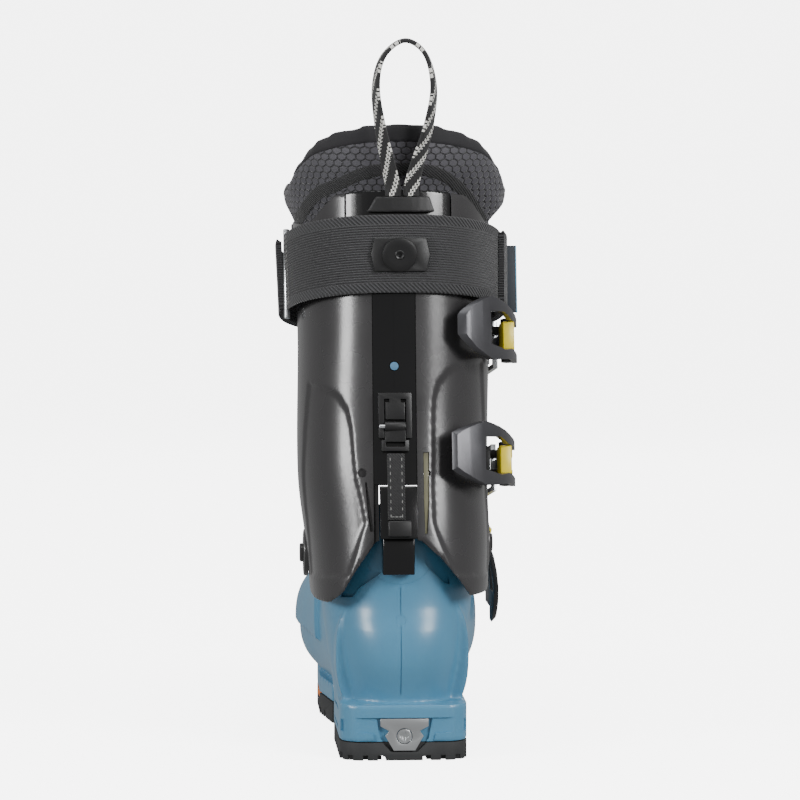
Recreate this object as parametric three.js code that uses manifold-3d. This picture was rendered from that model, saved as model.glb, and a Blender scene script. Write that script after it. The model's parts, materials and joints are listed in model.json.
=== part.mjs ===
// Right-foot freeride ski boot with a walk mode: lower shell, leaning cuff, liner and buckles.
// Millimetres. The origin is on the floor under the heel, +X is the outer side of the foot,
// +Y points to the toe and +Z is up.
import * as THREE from 'three';
import { mergeVertices } from 'three/addons/utils/BufferGeometryUtils.js';
import Module from 'manifold-3d';

const wasm = await Module();
wasm.setup();

// ---------- Driving dimensions ----------
const gap = 0.3; // clearance left between pieces that touch

// Sole and lower shell
const soleLength = 306;
const heelBack = -40;
const heelWidth = 69;
const toeWidth = 69;
const ballInner = 48; // half width of the forefoot on the inner side
const ballOuter = 53; // and on the outer side
const heelLedge = 30; // top of the heel's binding ledge
const heelRubber = 10;
const toeLedge = 22; // top of the toe's binding lug
const toeRubber = 12;
const toeLug = 14; // how far the lug stands out in front of the toe box
const archGapBack = 38; // the arch between the two soles, measured from the floor's origin
const archGapFront = 98;
const archHeight = 18;
const shellWall = 4.5;
const cavityFloor = 24;
const instepTop = 114;
const toeBoxTop = 80;
const shellBackTop = 140; // rear rim of the lower shell
const throatTop = 119; // its front rim, over the instep
const ankleInner = 44.6;
const ankleOuter = 43;
const flapStep = 2.6; // height of the overlapping flap's step

// Cuff
const pivotY = 30;
const pivotZ = 108;
const pivotTilt = 4.9; // the outer pivot sits this much higher than the inner one
const cuffLean = 13; // degrees
const cuffTop = 184; // along the leaning axis from the pivot
const cuffWall = 4.2;
const cuffInner = 55; // half width on the inner side, halfway up
const cuffOuter = 49;
const cuffBack = 73.5; // rear face behind the pivot, at its height
const cuffBackTop = 86.5; // rear face behind the axis, at the top rim
const cuffFront = 45;
const cuffTipInner = 84; // lowest points of the cuff's side lobes
const cuffTipOuter = 88;
const archTop = 120; // top of the arch between the lobes
const frontEdge = 152; // lower front edge of the cuff

// Spine, walk lever and latch
const channelWidth = 23.6;
const channelDepth = 2.4;
const spineShift = -4.6; // the channel's centre line
const latchShift = -3.2; // the latch blocks' centre line
const spineThick = 1.5;
const leverAxisZ = 180;
const leverFrameTop = 198;
const leverBottom = 167;
const leverFrameWidth = 17.8;
const leverWidth = 14.6;
const latchWidth = 20;
const latchSplitZ = 121; // where the cuff's hood meets the fixed block
const latchHoodTop = 148;
const latchBlockBottom = 101;
const latchRadius = 75; // inside of the hood, about the pivot
const latchWall = 4;
const pullWidth = 9.4;
const pullTabWidth = 12.4;

// Strap, liner and loop
const strapWidth = 42;
const strapThick = 3;
const strapGap = 3.2; // the strap stands off the cuff's sides
const strapDrop = 35; // its middle below the rim, along the leaning axis
const linerWall = 9;
const collarRise = 36.3; // the liner's rear peak above the cuff's rear rim
const collarSideRise = 7.3; // and its rim at the sides
const footbedThick = 3;
const loopWidth = 8.4;
const loopThick = 3.4;

// Buckles
const hingeRise = 10; // hinge pin above the shell
const leverThick = 3;
const bailArm = 12; // from the hinge pin to the adjuster's pin
const wire = 2.6;
const earGap = 7; // clear width between the hinge ears

const DEG = Math.PI / 180;
const toeTip = heelBack + soleLength;
const lean = cuffLean * DEG;
const up = new THREE.Vector3(0, Math.sin(lean), Math.cos(lean));
// Height above the floor of the cuff's rear rim.
const rimHeight = pivotZ + cuffTop * Math.cos(lean) + cuffBackTop * Math.sin(lean);
const linerTop = rimHeight + collarRise;
const linerSide = rimHeight + collarSideRise;

// ---------- Materials ----------
function plastic(color, roughness, metalness = 0) {
  return new THREE.MeshStandardMaterial({ color, roughness, metalness });
}
const blue = plastic(0x6e97ad, 0.35);
const cuffGrey = plastic(0x58585a, 0.3);
const black = plastic(0x1c1c1e, 0.4);
const gloss = plastic(0x121213, 0.2);
const rubber = plastic(0x26272a, 0.8);
const orange = plastic(0xd9663a, 0.5);
const steel = plastic(0xa7abb0, 0.35, 0.9);
const buckleGrey = plastic(0x4e4f52, 0.35, 0.5);
const yellow = plastic(0xf3e165, 0.4);
const cloth = plastic(0x35353a, 0.9);
const webbing = plastic(0x232326, 0.9);
const dot = plastic(0x557a94, 0.4);

// ---------- Solids ----------
function solid(geometry) {
  const bare = geometry.index ? geometry.toNonIndexed() : geometry.clone();
  bare.deleteAttribute('normal');
  bare.deleteAttribute('uv');
  const merged = mergeVertices(bare, 1e-4);
  return new wasm.Manifold(new wasm.Mesh({
    numProp: 3,
    vertProperties: new Float32Array(merged.attributes.position.array),
    triVerts: new Uint32Array(merged.index.array),
  }));
}

function shape(manifold) {
  const mesh = manifold.getMesh();
  const geometry = new THREE.BufferGeometry();
  geometry.setAttribute('position', new THREE.BufferAttribute(mesh.vertProperties, 3));
  geometry.setIndex(new THREE.BufferAttribute(mesh.triVerts, 1));
  geometry.computeVertexNormals();
  return geometry;
}

const boot = new THREE.Group();

function piece(name, manifold, material) {
  const mesh = new THREE.Mesh(shape(manifold), material);
  mesh.name = name;
  boot.add(mesh);
}

function box(sizeX, sizeY, sizeZ, x, y, z) {
  return solid(new THREE.BoxGeometry(sizeX, sizeY, sizeZ).translate(x, y, z));
}

// A disc or pin whose axis runs along X, Y or Z.
function pin(radius, length, axis, centre, sides = 20) {
  const geometry = new THREE.CylinderGeometry(radius, radius, length, sides);
  if (axis === 'x') geometry.rotateZ(Math.PI / 2);
  if (axis === 'z') geometry.rotateX(Math.PI / 2);
  return solid(geometry.translate(...centre));
}

function outline(points) {
  return new THREE.Shape(points.map(([a, b]) => new THREE.Vector2(a, b)));
}

// A flat outline made into a prism: across X (points are Y, Z), along Y (X, Z) or along Z (X, Y).
function prism(flat, axis, low, high) {
  const settings = { depth: high - low, bevelEnabled: false, curveSegments: 8 };
  const geometry = new THREE.ExtrudeGeometry(flat, settings);
  geometry.translate(0, 0, low);
  if (axis === 'x') geometry.rotateX(Math.PI / 2).rotateZ(Math.PI / 2);
  if (axis === 'y') geometry.rotateX(Math.PI / 2).scale(1, -1, 1);
  const made = solid(geometry);
  return made.volume() > 0 ? made : solid(flip(geometry));
}

// The same surface with its faces turned round.
function flip(geometry) {
  const turned = geometry.index ? geometry.toNonIndexed() : geometry;
  const corners = turned.attributes.position;
  for (let i = 0; i < corners.count; i += 3) {
    const first = new THREE.Vector3().fromBufferAttribute(corners, i);
    const last = new THREE.Vector3().fromBufferAttribute(corners, i + 2);
    corners.setXYZ(i, last.x, last.y, last.z);
    corners.setXYZ(i + 2, first.x, first.y, first.z);
  }
  return turned;
}

// A smooth curve through a few [place, value] pairs.
function through(pairs) {
  const last = pairs.length - 1;
  function slope(i) {
    const low = pairs[Math.max(i - 1, 0)];
    const high = pairs[Math.min(i + 1, last)];
    return (high[1] - low[1]) / (high[0] - low[0]);
  }
  return (place) => {
    const inside = Math.min(Math.max(place, pairs[0][0]), pairs[last][0]);
    const i = Math.min(pairs.filter(([start]) => start <= inside).length - 1, last - 1);
    const width = pairs[i + 1][0] - pairs[i][0];
    const t = (inside - pairs[i][0]) / width;
    const hold = pairs[i][1] * (2 * t ** 3 - 3 * t ** 2 + 1) + pairs[i + 1][1] * (3 * t ** 2 - 2 * t ** 3);
    return hold + width * (slope(i) * (t ** 3 - 2 * t ** 2 + t) + slope(i + 1) * (t ** 3 - t ** 2));
  };
}

// A closed tube-like body: rings of a cylinder moved to the place that spot(angle, share) gives.
function loft(spot, sides, rings) {
  const geometry = new THREE.CylinderGeometry(1, 1, 1, sides, rings);
  const corners = geometry.attributes.position;
  const point = new THREE.Vector3();
  for (let i = 0; i < corners.count; i += 1) {
    point.fromBufferAttribute(corners, i);
    const share = point.y + 0.5;
    const centre = Math.hypot(point.x, point.z) < 0.5;
    const moved = spot(Math.atan2(point.z, point.x), share);
    if (centre) moved.copy(spot(0, share)).add(spot(Math.PI, share)).multiplyScalar(0.5);
    corners.setXYZ(i, moved.x, moved.y, moved.z);
  }
  const made = solid(geometry);
  return made.volume() > 0 ? made : solid(flip(geometry));
}

// Sine or cosine drawn out towards a squarer outline.
function squared(value, power) {
  return Math.sign(value) * Math.abs(value) ** (2 / power);
}

// ---------- Lower shell: forefoot along Y, ankle along Z ----------
const toeBoxTip = toeTip - toeLug;
const footInner = through([[0, 0.74], [0.3, 0.8], [0.5, 0.88], [0.72, 1], [0.84, 0.93], [1, 0.8]]);
const footOuter = through([[0, 0.66], [0.3, 0.78], [0.45, 0.91], [0.62, 1], [0.78, 0.97], [1, 0.74]]);
const footTop = through([
  [0, instepTop - 24], [0.3, instepTop], [0.42, instepTop - 1], [0.6, instepTop - 18],
  [0.75, toeBoxTop + 4], [0.88, toeBoxTop - 2], [1, toeBoxTop - 10],
]);

// How round the toe end is: 1 along the foot, falling to a small face at the tip.
function toeRound(y) {
  const start = toeBoxTip - 56;
  const t = Math.min(Math.max((y - start) / (toeBoxTip - start), 0), 1);
  return Math.sqrt(1 - 0.9 * t ** 3);
}

function forefootPoint(angle, y, grow) {
  const share = (y - heelBack) / soleLength;
  const round = toeRound(y);
  const inner = ballInner * footInner(share) * round + grow;
  const outer = ballOuter * footOuter(share) * round + grow;
  const low = cavityFloor - shellWall - 6 - grow;
  const high = low + grow + (footTop(share) - low) * (0.45 + 0.55 * round) + grow;
  const side = Math.cos(angle) > 0 ? outer : inner;
  const x = squared(Math.cos(angle), 2.5) * side;
  const z = (low + high) / 2 + squared(Math.sin(angle), 2.5) * (high - low) / 2;
  return new THREE.Vector3(x, y, z);
}

function forefoot(grow, low = -20) {
  const tip = toeBoxTip + grow;
  return loft((angle, share) => {
    const y = low - grow + Math.sin(share * Math.PI / 2) * (tip - low + grow); // closer rings at the toe
    return forefootPoint(-angle, y, grow);
  }, 22, 8);
}

const ankleBack = through([
  [0, -heelBack - 6], [30, -heelBack - 6.5], [52, -heelBack - 0.6], [68, -heelBack - 1],
  [82, -heelBack - 6],
  [100, -heelBack - 7.4], [120, -heelBack - 9.4], [150, -heelBack - 14], [180, -heelBack - 20],
]);
const ankleFront = through([[0, 60], [40, 78], [80, 88], [108, 84], [180, 78]]);
const ankleSide = through([
  [0, 0.76], [30, 0.79], [55, 0.87], [80, 0.94], [108, 1], [150, 1.02], [180, 1.02],
]);

function anklePoint(angle, z, grow) {
  const back = ankleBack(z) + grow;
  const front = ankleFront(z) + grow;
  const side = (Math.cos(angle) > 0 ? ankleOuter : ankleInner) * ankleSide(z) + grow;
  const middle = (front - back) / 2;
  const x = squared(Math.cos(angle), 2.4) * side;
  const y = middle + squared(Math.sin(angle), 2.4) * (front + back) / 2;
  return new THREE.Vector3(x, y, z);
}

const ankleLow = 4;
const ankleHigh = 190;

function ankle(grow) {
  return loft((angle, share) => {
    const z = ankleLow + share * (ankleHigh - ankleLow);
    const past = grow < 0 && (share === 0 || share === 1) ? 2 * share - 1 : 0;
    return anklePoint(angle, z, grow).setZ(z + past);
  }, 22, 7);
}

// The footprint of the heel or toe end, as a closed outline in X and Y.
function heelOutline(width, back, front) {
  const half = width / 2;
  const flat = new THREE.Shape();
  flat.moveTo(-half, front);
  flat.lineTo(-half, back + half * 0.62);
  flat.quadraticCurveTo(-half * 0.96, back + 2, -half * 0.5, back);
  flat.lineTo(half * 0.5, back);
  flat.quadraticCurveTo(half * 0.96, back + 2, half, back + half * 0.62);
  flat.lineTo(half, front);
  flat.closePath();
  return flat;
}

function toeOutline(inset, back, tip) {
  const inner = ballInner * 0.79 - inset;
  const outer = ballOuter * 0.76 - inset;
  const half = toeWidth / 2 - inset;
  const flat = new THREE.Shape();
  flat.moveTo(-inner * 0.86, back);
  flat.quadraticCurveTo(-inner * 1.06, back + 40, -inner, back + 82);
  flat.lineTo(-half, tip - 42);
  flat.quadraticCurveTo(-half * 0.96, tip - 4, -half * 0.42, tip);
  flat.lineTo(half * 0.42, tip);
  flat.quadraticCurveTo(half * 0.96, tip - 4, half, tip - 42);
  flat.lineTo(outer, back + 70);
  flat.quadraticCurveTo(outer * 1.04, back + 36, outer * 0.88, back);
  flat.closePath();
  return flat;
}

const far = 1200;
const cavity = forefoot(-shellWall, -24).add(ankle(-shellWall));
const roomBelow = box(far, 2 * far, far, 0, 0, cavityFloor - far / 2);
const shellRoom = cavity.subtract(roomBelow);
const rimCut = prism(outline([
  [-far, shellBackTop], [-60, shellBackTop], [pivotY - 20, shellBackTop - 5], [96, throatTop],
  [far, throatTop], [far, far], [-far, far],
]), 'x', -far, far);
const heelBlock = prism(heelOutline(heelWidth, heelBack, archGapBack), 'z', heelRubber, heelLedge);
const toeBlock = prism(toeOutline(0, archGapFront, toeTip), 'z', toeRubber, toeLedge);
const floorCut = box(far, 2 * far, far, 0, 0, archHeight - far / 2);
const shellOuter = forefoot(0).add(ankle(0)).subtract(floorCut).add(heelBlock).add(toeBlock);
const flapBand = prism(outline([
  [-far, throatTop - 70], [-6, throatTop - 70], [14, throatTop - 12], [14, far], [-far, far],
]), 'y', 92, toeBoxTip - 52);
const flap = forefoot(flapStep).subtract(forefoot(-1)).intersect(flapBand);

// Pockets for the steel fittings
const insertY = toeTip - 13;
const insertZ = toeRubber + 5.6;
const insertLength = toeWidth - 9;
const insertPocket = box(toeWidth * 2, 9 + 2 * gap, 7 + 2 * gap, 0, insertY, insertZ);
const plateTop = 22.6;
const plateBottom = 5.4;
const plateThick = 2.2;
const plateWidth = 26;
const plateNeck = 16.6;
const plateFlare = 20.6;
const plateFoot = 11.6;

function plateOutline(extra) {
  const wide = plateWidth / 2 + extra;
  const neck = plateNeck / 2 + extra;
  const flare = plateFlare / 2 + extra;
  const foot = plateFoot / 2 + extra;
  return outline([
    [-wide, plateTop + extra], [-wide, plateTop - 4 - extra],
    [-neck, plateTop - 6.5], [-flare, plateTop - 9.4],
    [-foot, plateBottom - extra], [foot, plateBottom - extra],
    [flare, plateTop - 9.4], [neck, plateTop - 6.5],
    [wide, plateTop - 4 - extra], [wide, plateTop + extra],
  ]);
}

const plateRecess = prism(plateOutline(gap), 'y', heelBack - 1, heelBack + plateThick);
const pivotHoles = [-1, 1].map((side) => {
  const z = pivotZ + side * pivotTilt / 2;
  return pin(5, 40, 'x', [side * 45, pivotY, z]);
});
const sideNotch = [-1, 1].map((side) => box(6, 9, 7, side * heelWidth / 2, heelBack + 26, 19));

let lowerShell = shellOuter.add(flap).subtract(shellRoom).subtract(rimCut).subtract(insertPocket)
  .subtract(plateRecess);
for (const cut of [...pivotHoles, ...sideNotch]) lowerShell = lowerShell.subtract(cut);

// ---------- Soles, board and fittings ----------
function treads(count, back, front, step) {
  const cuts = [];
  for (let i = 1; i <= count; i += 1) {
    cuts.push(box(far, step, 6, 0, back + (front - back) * i / (count + 1), 0));
  }
  return cuts;
}

const screwRadius = 4;
const heelScrews = [-1, 1].map((side) => [side * 17, 18]);
const toeScrews = [-1, 1].map((side) => [side * 17, archGapFront + 78]);

let heelSole = prism(heelOutline(heelWidth, heelBack, archGapBack), 'z', 0, heelRubber - gap)
  .subtract(plateRecess);
for (const cut of treads(3, heelBack + 18, archGapBack, 4)) heelSole = heelSole.subtract(cut);
for (const [x, y] of heelScrews) heelSole = heelSole.subtract(pin(screwRadius + 0.5, 40, 'z', [x, y, 0]));
piece('heel_sole', heelSole, rubber);

const accentDepth = 4;
const accentBand = prism(outline([
  [-far, archGapFront + 40], [0, archGapFront + 40], [0, archGapFront + 96], [-far, archGapFront + 96],
]), 'z', toeRubber - accentDepth, toeRubber);
let toeSole = prism(toeOutline(0, archGapFront, toeTip), 'z', 0, toeRubber - gap);
for (const cut of treads(5, archGapFront, toeTip - 18, 4)) toeSole = toeSole.subtract(cut);
for (const [x, y] of toeScrews) toeSole = toeSole.subtract(pin(screwRadius + 0.5, 40, 'z', [x, y, 0]));
const accentRing = prism(toeOutline(0, archGapFront, toeTip), 'z', toeRubber - accentDepth, toeRubber - gap)
  .subtract(prism(toeOutline(3, archGapFront - 9, toeTip), 'z', -1, toeRubber + 1)).intersect(accentBand);
const accentRoom = accentBand.subtract(prism(toeOutline(3 + gap, archGapFront - 9, toeTip), 'z', -1, far));
toeSole = toeSole.subtract(accentRoom);
const accent = accentRing.intersect(box(far, 56 - 2 * gap, far, 0, archGapFront + 68, 0))
  .subtract(box(far, far, far, 0, 0, toeRubber - accentDepth + gap - far / 2));
piece('toe_sole', toeSole, rubber);
piece('toe_sole_accent', accent, orange);

[['heel', heelScrews, heelRubber], ['toe', toeScrews, toeRubber]].forEach(([place, spots, top]) => {
  spots.forEach(([x, y], i) => {
    const head = pin(screwRadius, 3, 'z', [x, y, top - 4.5], 12);
    piece(`${place}_sole_screw_${i + 1}`, head.add(pin(2, 3.2, 'z', [x, y, top - 2], 8)), steel);
  });
});

const insert = box(insertLength, 9, 7, 0, insertY, insertZ)
  .subtract(pin(3, 6, 'x', [insertLength / 2, insertY, insertZ], 12))
  .subtract(pin(3, 6, 'x', [-insertLength / 2, insertY, insertZ], 12));
piece('toe_binding_insert', insert, steel);

const plateScrewZ = 13.2;
const plate = prism(plateOutline(0), 'y', heelBack - 0.2, heelBack + plateThick - gap)
  .subtract(pin(4.4, 20, 'y', [0, heelBack, plateScrewZ], 16));
piece('heel_binding_plate', plate, steel);
const screwHead = pin(4, 1.6, 'y', [0, heelBack + 0.9, plateScrewZ], 16);
piece('heel_plate_screw', screwHead, steel);

const boardThick = 6;
const board = forefoot(-shellWall - 0.8, -24).add(ankle(-shellWall - 0.8))
  .intersect(box(far, 2 * far, boardThick, 0, 0, cavityFloor + gap + boardThick / 2));
piece('boot_board', board, black);

// ---------- Cuff: a leaning tube about the pivot ----------
const cuffMiddle = -18; // centre of each cross-section, forward of the axis
const backLine = through([[-30, cuffBack - 0.5], [0, cuffBack], [60, cuffBack + 1.5], [120, cuffBack + 6.5],
  [cuffTop, cuffBackTop], [cuffTop + 60, cuffBackTop + 3]]);
const frontLine = through([[-30, cuffFront + 56], [0, cuffFront + 40], [40, cuffFront + 12], [120, cuffFront],
  [cuffTop, cuffFront + 1], [cuffTop + 60, cuffFront + 1]]);
const innerLine = through([
  [-30, cuffInner - 7], [0, cuffInner - 4.6], [40, cuffInner], [120, cuffInner - 0.6],
  [cuffTop, cuffInner + 1.5], [cuffTop + 60, cuffInner + 2],
]);
const outerLine = through([
  [-30, cuffOuter - 1], [0, cuffOuter + 0.6], [40, cuffOuter], [120, cuffOuter + 2.4],
  [cuffTop, cuffOuter + 3.4], [cuffTop + 60, cuffOuter + 5],
]);

// A place given across, forward of and along the leaning axis.
function leaned(x, forward, along) {
  return new THREE.Vector3(
    x,
    pivotY + forward * Math.cos(lean) + along * Math.sin(lean),
    pivotZ - forward * Math.sin(lean) + along * Math.cos(lean),
  );
}

function cuffPoint(angle, along, grow) {
  const side = (Math.cos(angle) > 0 ? outerLine(along) : innerLine(along)) + grow;
  const reach = Math.sin(angle) > 0 ? frontLine(along) - cuffMiddle : backLine(along) + cuffMiddle;
  const x = squared(Math.cos(angle), 2.3) * side;
  const forward = cuffMiddle + squared(Math.sin(angle), 2.3) * (reach + grow);
  return leaned(x, forward, along);
}

// Every offset of the cuff's surface has its rings at the same places, so that layers nest.
const cuffLow = -40;
const cuffHigh = cuffTop + 16;

function cuffBody(grow) {
  const spare = grow < 0 ? 4 : 0; // an inner body runs past the ends of the one it hollows
  return loft((angle, share) => {
    const along = cuffLow + share * (cuffHigh - cuffLow);
    const past = share === 0 ? -spare : share === 1 ? spare : 0;
    return cuffPoint(angle, along, grow).addScaledVector(up, past);
  }, 24, 6);
}

function cuffSkin(inside, outside) {
  return cuffBody(outside).subtract(cuffBody(inside).add(cuffEnds));
}

// Everything above the cuff's rim, and a slab that trims the open ends of a skin.
function leanedBox(low, high) {
  const geometry = new THREE.BoxGeometry(far / 2, far / 2, high - low).translate(0, 0, (low + high) / 2);
  return solid(geometry.rotateX(-lean).translate(0, pivotY, pivotZ));
}
const cuffEnds = leanedBox(cuffHigh - 1, cuffHigh + 30).add(leanedBox(cuffLow - 30, cuffLow + 1));
const aboveRim = leanedBox(cuffTop, cuffTop + 200);

// Lower edge: an arch behind, two lobes at the pivots and a rising edge in front.
const archCut = prism(outline([
  [-far, 0], [-far, cuffTipInner], [-40, cuffTipInner], [-33, cuffTipInner + 6], [-27, cuffTipInner + 17],
  [-15, archTop - 1], [9, archTop - 1], [20, cuffTipOuter + 21], [29, cuffTipOuter + 10],
  [36, cuffTipOuter],
  [far, cuffTipOuter], [far, 0],
]), 'y', -far, 12);
const frontCut = prism(outline([
  [-far, 0], [-far, cuffTipInner - 8], [-10, cuffTipInner], [40, cuffTipInner + 1], [52, cuffTipInner + 10],
  [62, 118], [78, frontEdge - 10], [104, frontEdge], [far, frontEdge + 6], [far, 0],
]), 'x', -far, far);
const latchRoom = prism(outline([
  [latchShift - latchWidth / 2 - gap, 0], [latchShift - latchWidth / 2 - gap, latchHoodTop + gap],
  [latchShift + latchWidth / 2 + gap, latchHoodTop + gap], [latchShift + latchWidth / 2 + gap, 0],
]), 'y', -far, 0);

function rearBand(centre, width, low, high) {
  return prism(outline([
    [centre - width / 2, low], [centre - width / 2, high],
    [centre + width / 2, high], [centre + width / 2, low],
  ]), 'y', -far, 0);
}

const channelTop = rimHeight - 21.7;
const channel = rearBand(spineShift, channelWidth, 60, channelTop).subtract(cuffBody(-channelDepth));

// Front overlap: the inner wing lies over the outer wing, past the middle of the shin.
const wingEdge = 26;
const wing = cuffSkin(-1, flapStep).intersect(prism(outline([
  [-far, 0], [wingEdge, 0], [wingEdge, far], [-far, far],
]), 'y', pivotY + 45, far));
const topCut = prism(outline([
  [pivotY - 10, 320], [pivotY + 40, 300], [pivotY + 75, 268], [far, 250], [far, far], [pivotY - 10, far],
]), 'x', -far, far);

// The spoiler fills a dip in the rim behind.
const spoilerWidth = 58;
const spoilerLow = channelTop + 1;
const dip = rearBand(spineShift + 3, spoilerWidth, spoilerLow, far);

let cuff = cuffSkin(-cuffWall, 0).add(wing).subtract(aboveRim).subtract(archCut).subtract(frontCut)
  .subtract(channel).subtract(latchRoom).subtract(topCut).subtract(dip);
const pivotSpots = [-1, 1].map((side) => [side, pivotZ + side * pivotTilt / 2]);
for (const [side, z] of pivotSpots) cuff = cuff.subtract(pin(7.3, 60, 'x', [side * 55, pivotY, z], 20));
const dotHole = pin(2.6, 40, 'y', [0, 0, 0], 12);
const dotZ = 212;
cuff = cuff.subtract(dotHole.translate([spineShift, pivotY - 70, dotZ]));
piece('cuff_shell', cuff, cuffGrey);

// ---------- Spine, walk lever and latch ----------
const spineIn = -channelDepth + gap;
const spineOut = spineIn + spineThick;
const spine = cuffSkin(spineIn, spineOut)
  .intersect(rearBand(spineShift, channelWidth - 2 * gap, latchHoodTop + 1, channelTop - 1))
  .subtract(dotHole.translate([spineShift, pivotY - 70, dotZ]));
piece('cuff_spine', spine, black);
const dotPlug = pin(2.3, 3, 'y', [0, 0, 0], 12);
const dotFace = cuffBody(spineOut + 0.6);
piece('spine_plug', dotPlug.translate([spineShift, pivotY - 55.5, dotZ]).intersect(dotFace), dot);

const railWidth = 3;
const frameIn = spineOut + gap;
const frameOut = frameIn + 4.4;
const hingeGap = 4;
const rails = rearBand(spineShift, leverFrameWidth, leverAxisZ - 6, leverFrameTop)
  .subtract(rearBand(spineShift, leverFrameWidth - 2 * railWidth, 0, leverFrameTop - 3.2));
const blockWidth = leverFrameWidth - 2 * railWidth - 1.4;
const block = rearBand(spineShift, blockWidth, leverAxisZ + hingeGap, leverFrameTop - 5)
  .add(rearBand(spineShift, 6, leverAxisZ + hingeGap + 2, leverFrameTop - 1));
const leverFrame = cuffSkin(frameIn, frameOut).intersect(rails.add(block));
const knuckleRadius = 2.8;

// The rear face's place along Y at a height above the floor.
function rearFace(z, grow) {
  let along = z - pivotZ;
  for (let i = 0; i < 5; i += 1) {
    along = (z - pivotZ - (backLine(along) + grow) * Math.sin(lean)) / Math.cos(lean);
  }
  return cuffPoint(-Math.PI / 2, along, grow).y;
}
const backAtLever = rearFace(leverAxisZ, spineOut) - gap - knuckleRadius;
const leverAxis = [spineShift, backAtLever, leverAxisZ];
const axleRoom = pin(1.5, 60, 'x', leverAxis, 12);
piece('lever_frame', leverFrame.subtract(axleRoom), black);
const axle = pin(1.2, leverFrameWidth - 0.6, 'x', leverAxis, 12);
piece('lever_axle', axle, steel);

const knuckle = pin(knuckleRadius, leverFrameWidth - 2 * railWidth - 2 * gap, 'x', leverAxis, 16);
const leverPlate = cuffSkin(frameIn + 0.4, frameOut - 0.2)
  .intersect(rearBand(spineShift, leverWidth, leverBottom, leverAxisZ - 7)
    .add(rearBand(spineShift, leverFrameWidth - 2 * railWidth - 2 * gap, leverBottom, leverAxisZ)))
  .subtract(rearBand(spineShift, pullWidth + 0.8, leverBottom + 2.4, leverBottom + 5));
const spineClear = cuffBody(frameIn);
const lever = knuckle.add(leverPlate).subtract(axleRoom).subtract(spineClear);
piece('walk_lever', lever, black);

// The pull: a webbing that hangs from the lever over the hood, and its moulded end.
const pullTop = [backAtLever - 4.6, leverBottom - 1.2];
const pullEnd = [pivotY - latchRadius - latchWall + 2, 131];
const pull = prism(outline([
  [pullTop[0], pullTop[1]], [pullTop[0] - 1.6, pullTop[1]],
  [pullEnd[0] - 1.6, pullEnd[1]], [pullEnd[0], pullEnd[1]],
]), 'x', spineShift - pullWidth / 2, spineShift + pullWidth / 2);
piece('lever_pull', pull, webbing);
const tabShift = (spineShift + latchShift) / 2 + 0.9;
const pullTab = prism(outline([
  [pullEnd[0] + 0.2, pullEnd[1] - gap], [pullEnd[0] - 3.4, pullEnd[1] - gap], [pullEnd[0] - 4.6, 122.4],
  [pullEnd[0] - 1.6, 122.4],
]), 'x', tabShift - pullTabWidth / 2, tabShift + pullTabWidth / 2);
piece('lever_pull_tab', pullTab, black);

// The hood runs on a circle about the pivot, so that it slides over the fixed block.
function latchBand(inside, outside, width, low, high) {
  const ring = pin(outside, width, 'x', [latchShift, pivotY, pivotZ], 72)
    .subtract(pin(inside, width + 10, 'x', [latchShift, pivotY, pivotZ], 72));
  return ring.intersect(box(far, 100, high - low, 0, heelBack - 10, (low + high) / 2));
}

const hood = latchBand(latchRadius, latchRadius + latchWall, latchWidth, latchSplitZ, latchHoodTop);
piece('latch_hood', hood, black);
const shellFace = ankle(gap).add(forefoot(gap));
const catchBlock = box(latchWidth - 3, 20, latchSplitZ - gap - latchBlockBottom, latchShift,
  pivotY - latchRadius + 10, (latchSplitZ - gap + latchBlockBottom) / 2)
  .intersect(pin(latchRadius - 0.8, 60, 'x', [latchShift, pivotY, pivotZ], 72)).subtract(shellFace);
const catchBar = [latchShift, pivotY - latchRadius + 4, latchSplitZ - 4];
piece('latch_block', catchBlock.subtract(pin(1.9, 60, 'x', catchBar, 12)), black);
piece('latch_bar', pin(1.6, latchWidth - 5, 'x', catchBar, 12), steel);

// ---------- Pivots ----------
const discThick = 2.6;
const capRadius = 13;
pivotSpots.forEach(([side, z]) => {
  const name = side < 0 ? 'inner' : 'outer';
  const reach = Math.abs(cuffPoint(side < 0 ? Math.PI : 0, 0, 0).x);
  const cap = pin(capRadius, discThick, 'x', [side * (reach + gap + discThick / 2), pivotY, z], 24)
    .subtract(pin(5.6, 40, 'x', [side * reach, pivotY, z], 16)).subtract(cuffBody(gap));
  piece(`${name}_pivot_cap`, cap, buckleGrey);
  const depth = reach + discThick - (ankleInner - shellWall) + 2;
  const bolt = pin(5.2, discThick + 1, 'x', [side * (reach + gap + discThick / 2), pivotY, z], 16)
    .add(pin(4.6, depth, 'x', [side * (reach + discThick / 2 - depth / 2 + 1), pivotY, z], 16));
  piece(`${name}_pivot_bolt`, bolt, steel);
});

// ---------- Liner, footbed and tongue ----------
const linerGrow = -shellWall - 0.6;
const bedTop = cavityFloor + gap + boardThick + gap;
const footBelow = box(far, 2 * far, far, 0, 0, bedTop - far / 2);
const footWall = 6;
// Both parts of the liner end on planes through the pivot, so that the cuff's part can swing.
function wedge(backAngle, frontAngle, low) {
  const reach = 260;
  return prism(outline([
    [pivotY, low],
    [pivotY + reach * Math.cos(frontAngle * DEG), low + reach * Math.sin(frontAngle * DEG)],
    [pivotY, low + 3 * reach],
    [pivotY + reach * Math.cos(backAngle * DEG), low + reach * Math.sin(backAngle * DEG)],
  ]), 'x', -far, far);
}
const footPart = wedge(153, 20, pivotZ - 1);
const cuffPart = wedge(157, 14, shellBackTop + 2);
const linerFootOuter = forefoot(linerGrow, -24).add(ankle(linerGrow))
  .subtract(footBelow).subtract(footPart);
const linerFootRoom = forefoot(linerGrow - footWall, -14)
  .add(ankle(linerGrow - footWall - 1))
  .subtract(box(far, 2 * far, far, 0, 0, bedTop + footWall - far / 2));
let linerFoot = linerFootOuter.subtract(linerFootRoom);
for (const [side, z] of pivotSpots) {
  linerFoot = linerFoot.subtract(pin(5.2, 9, 'x', [side * 41, pivotY, z], 16));
}
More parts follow.
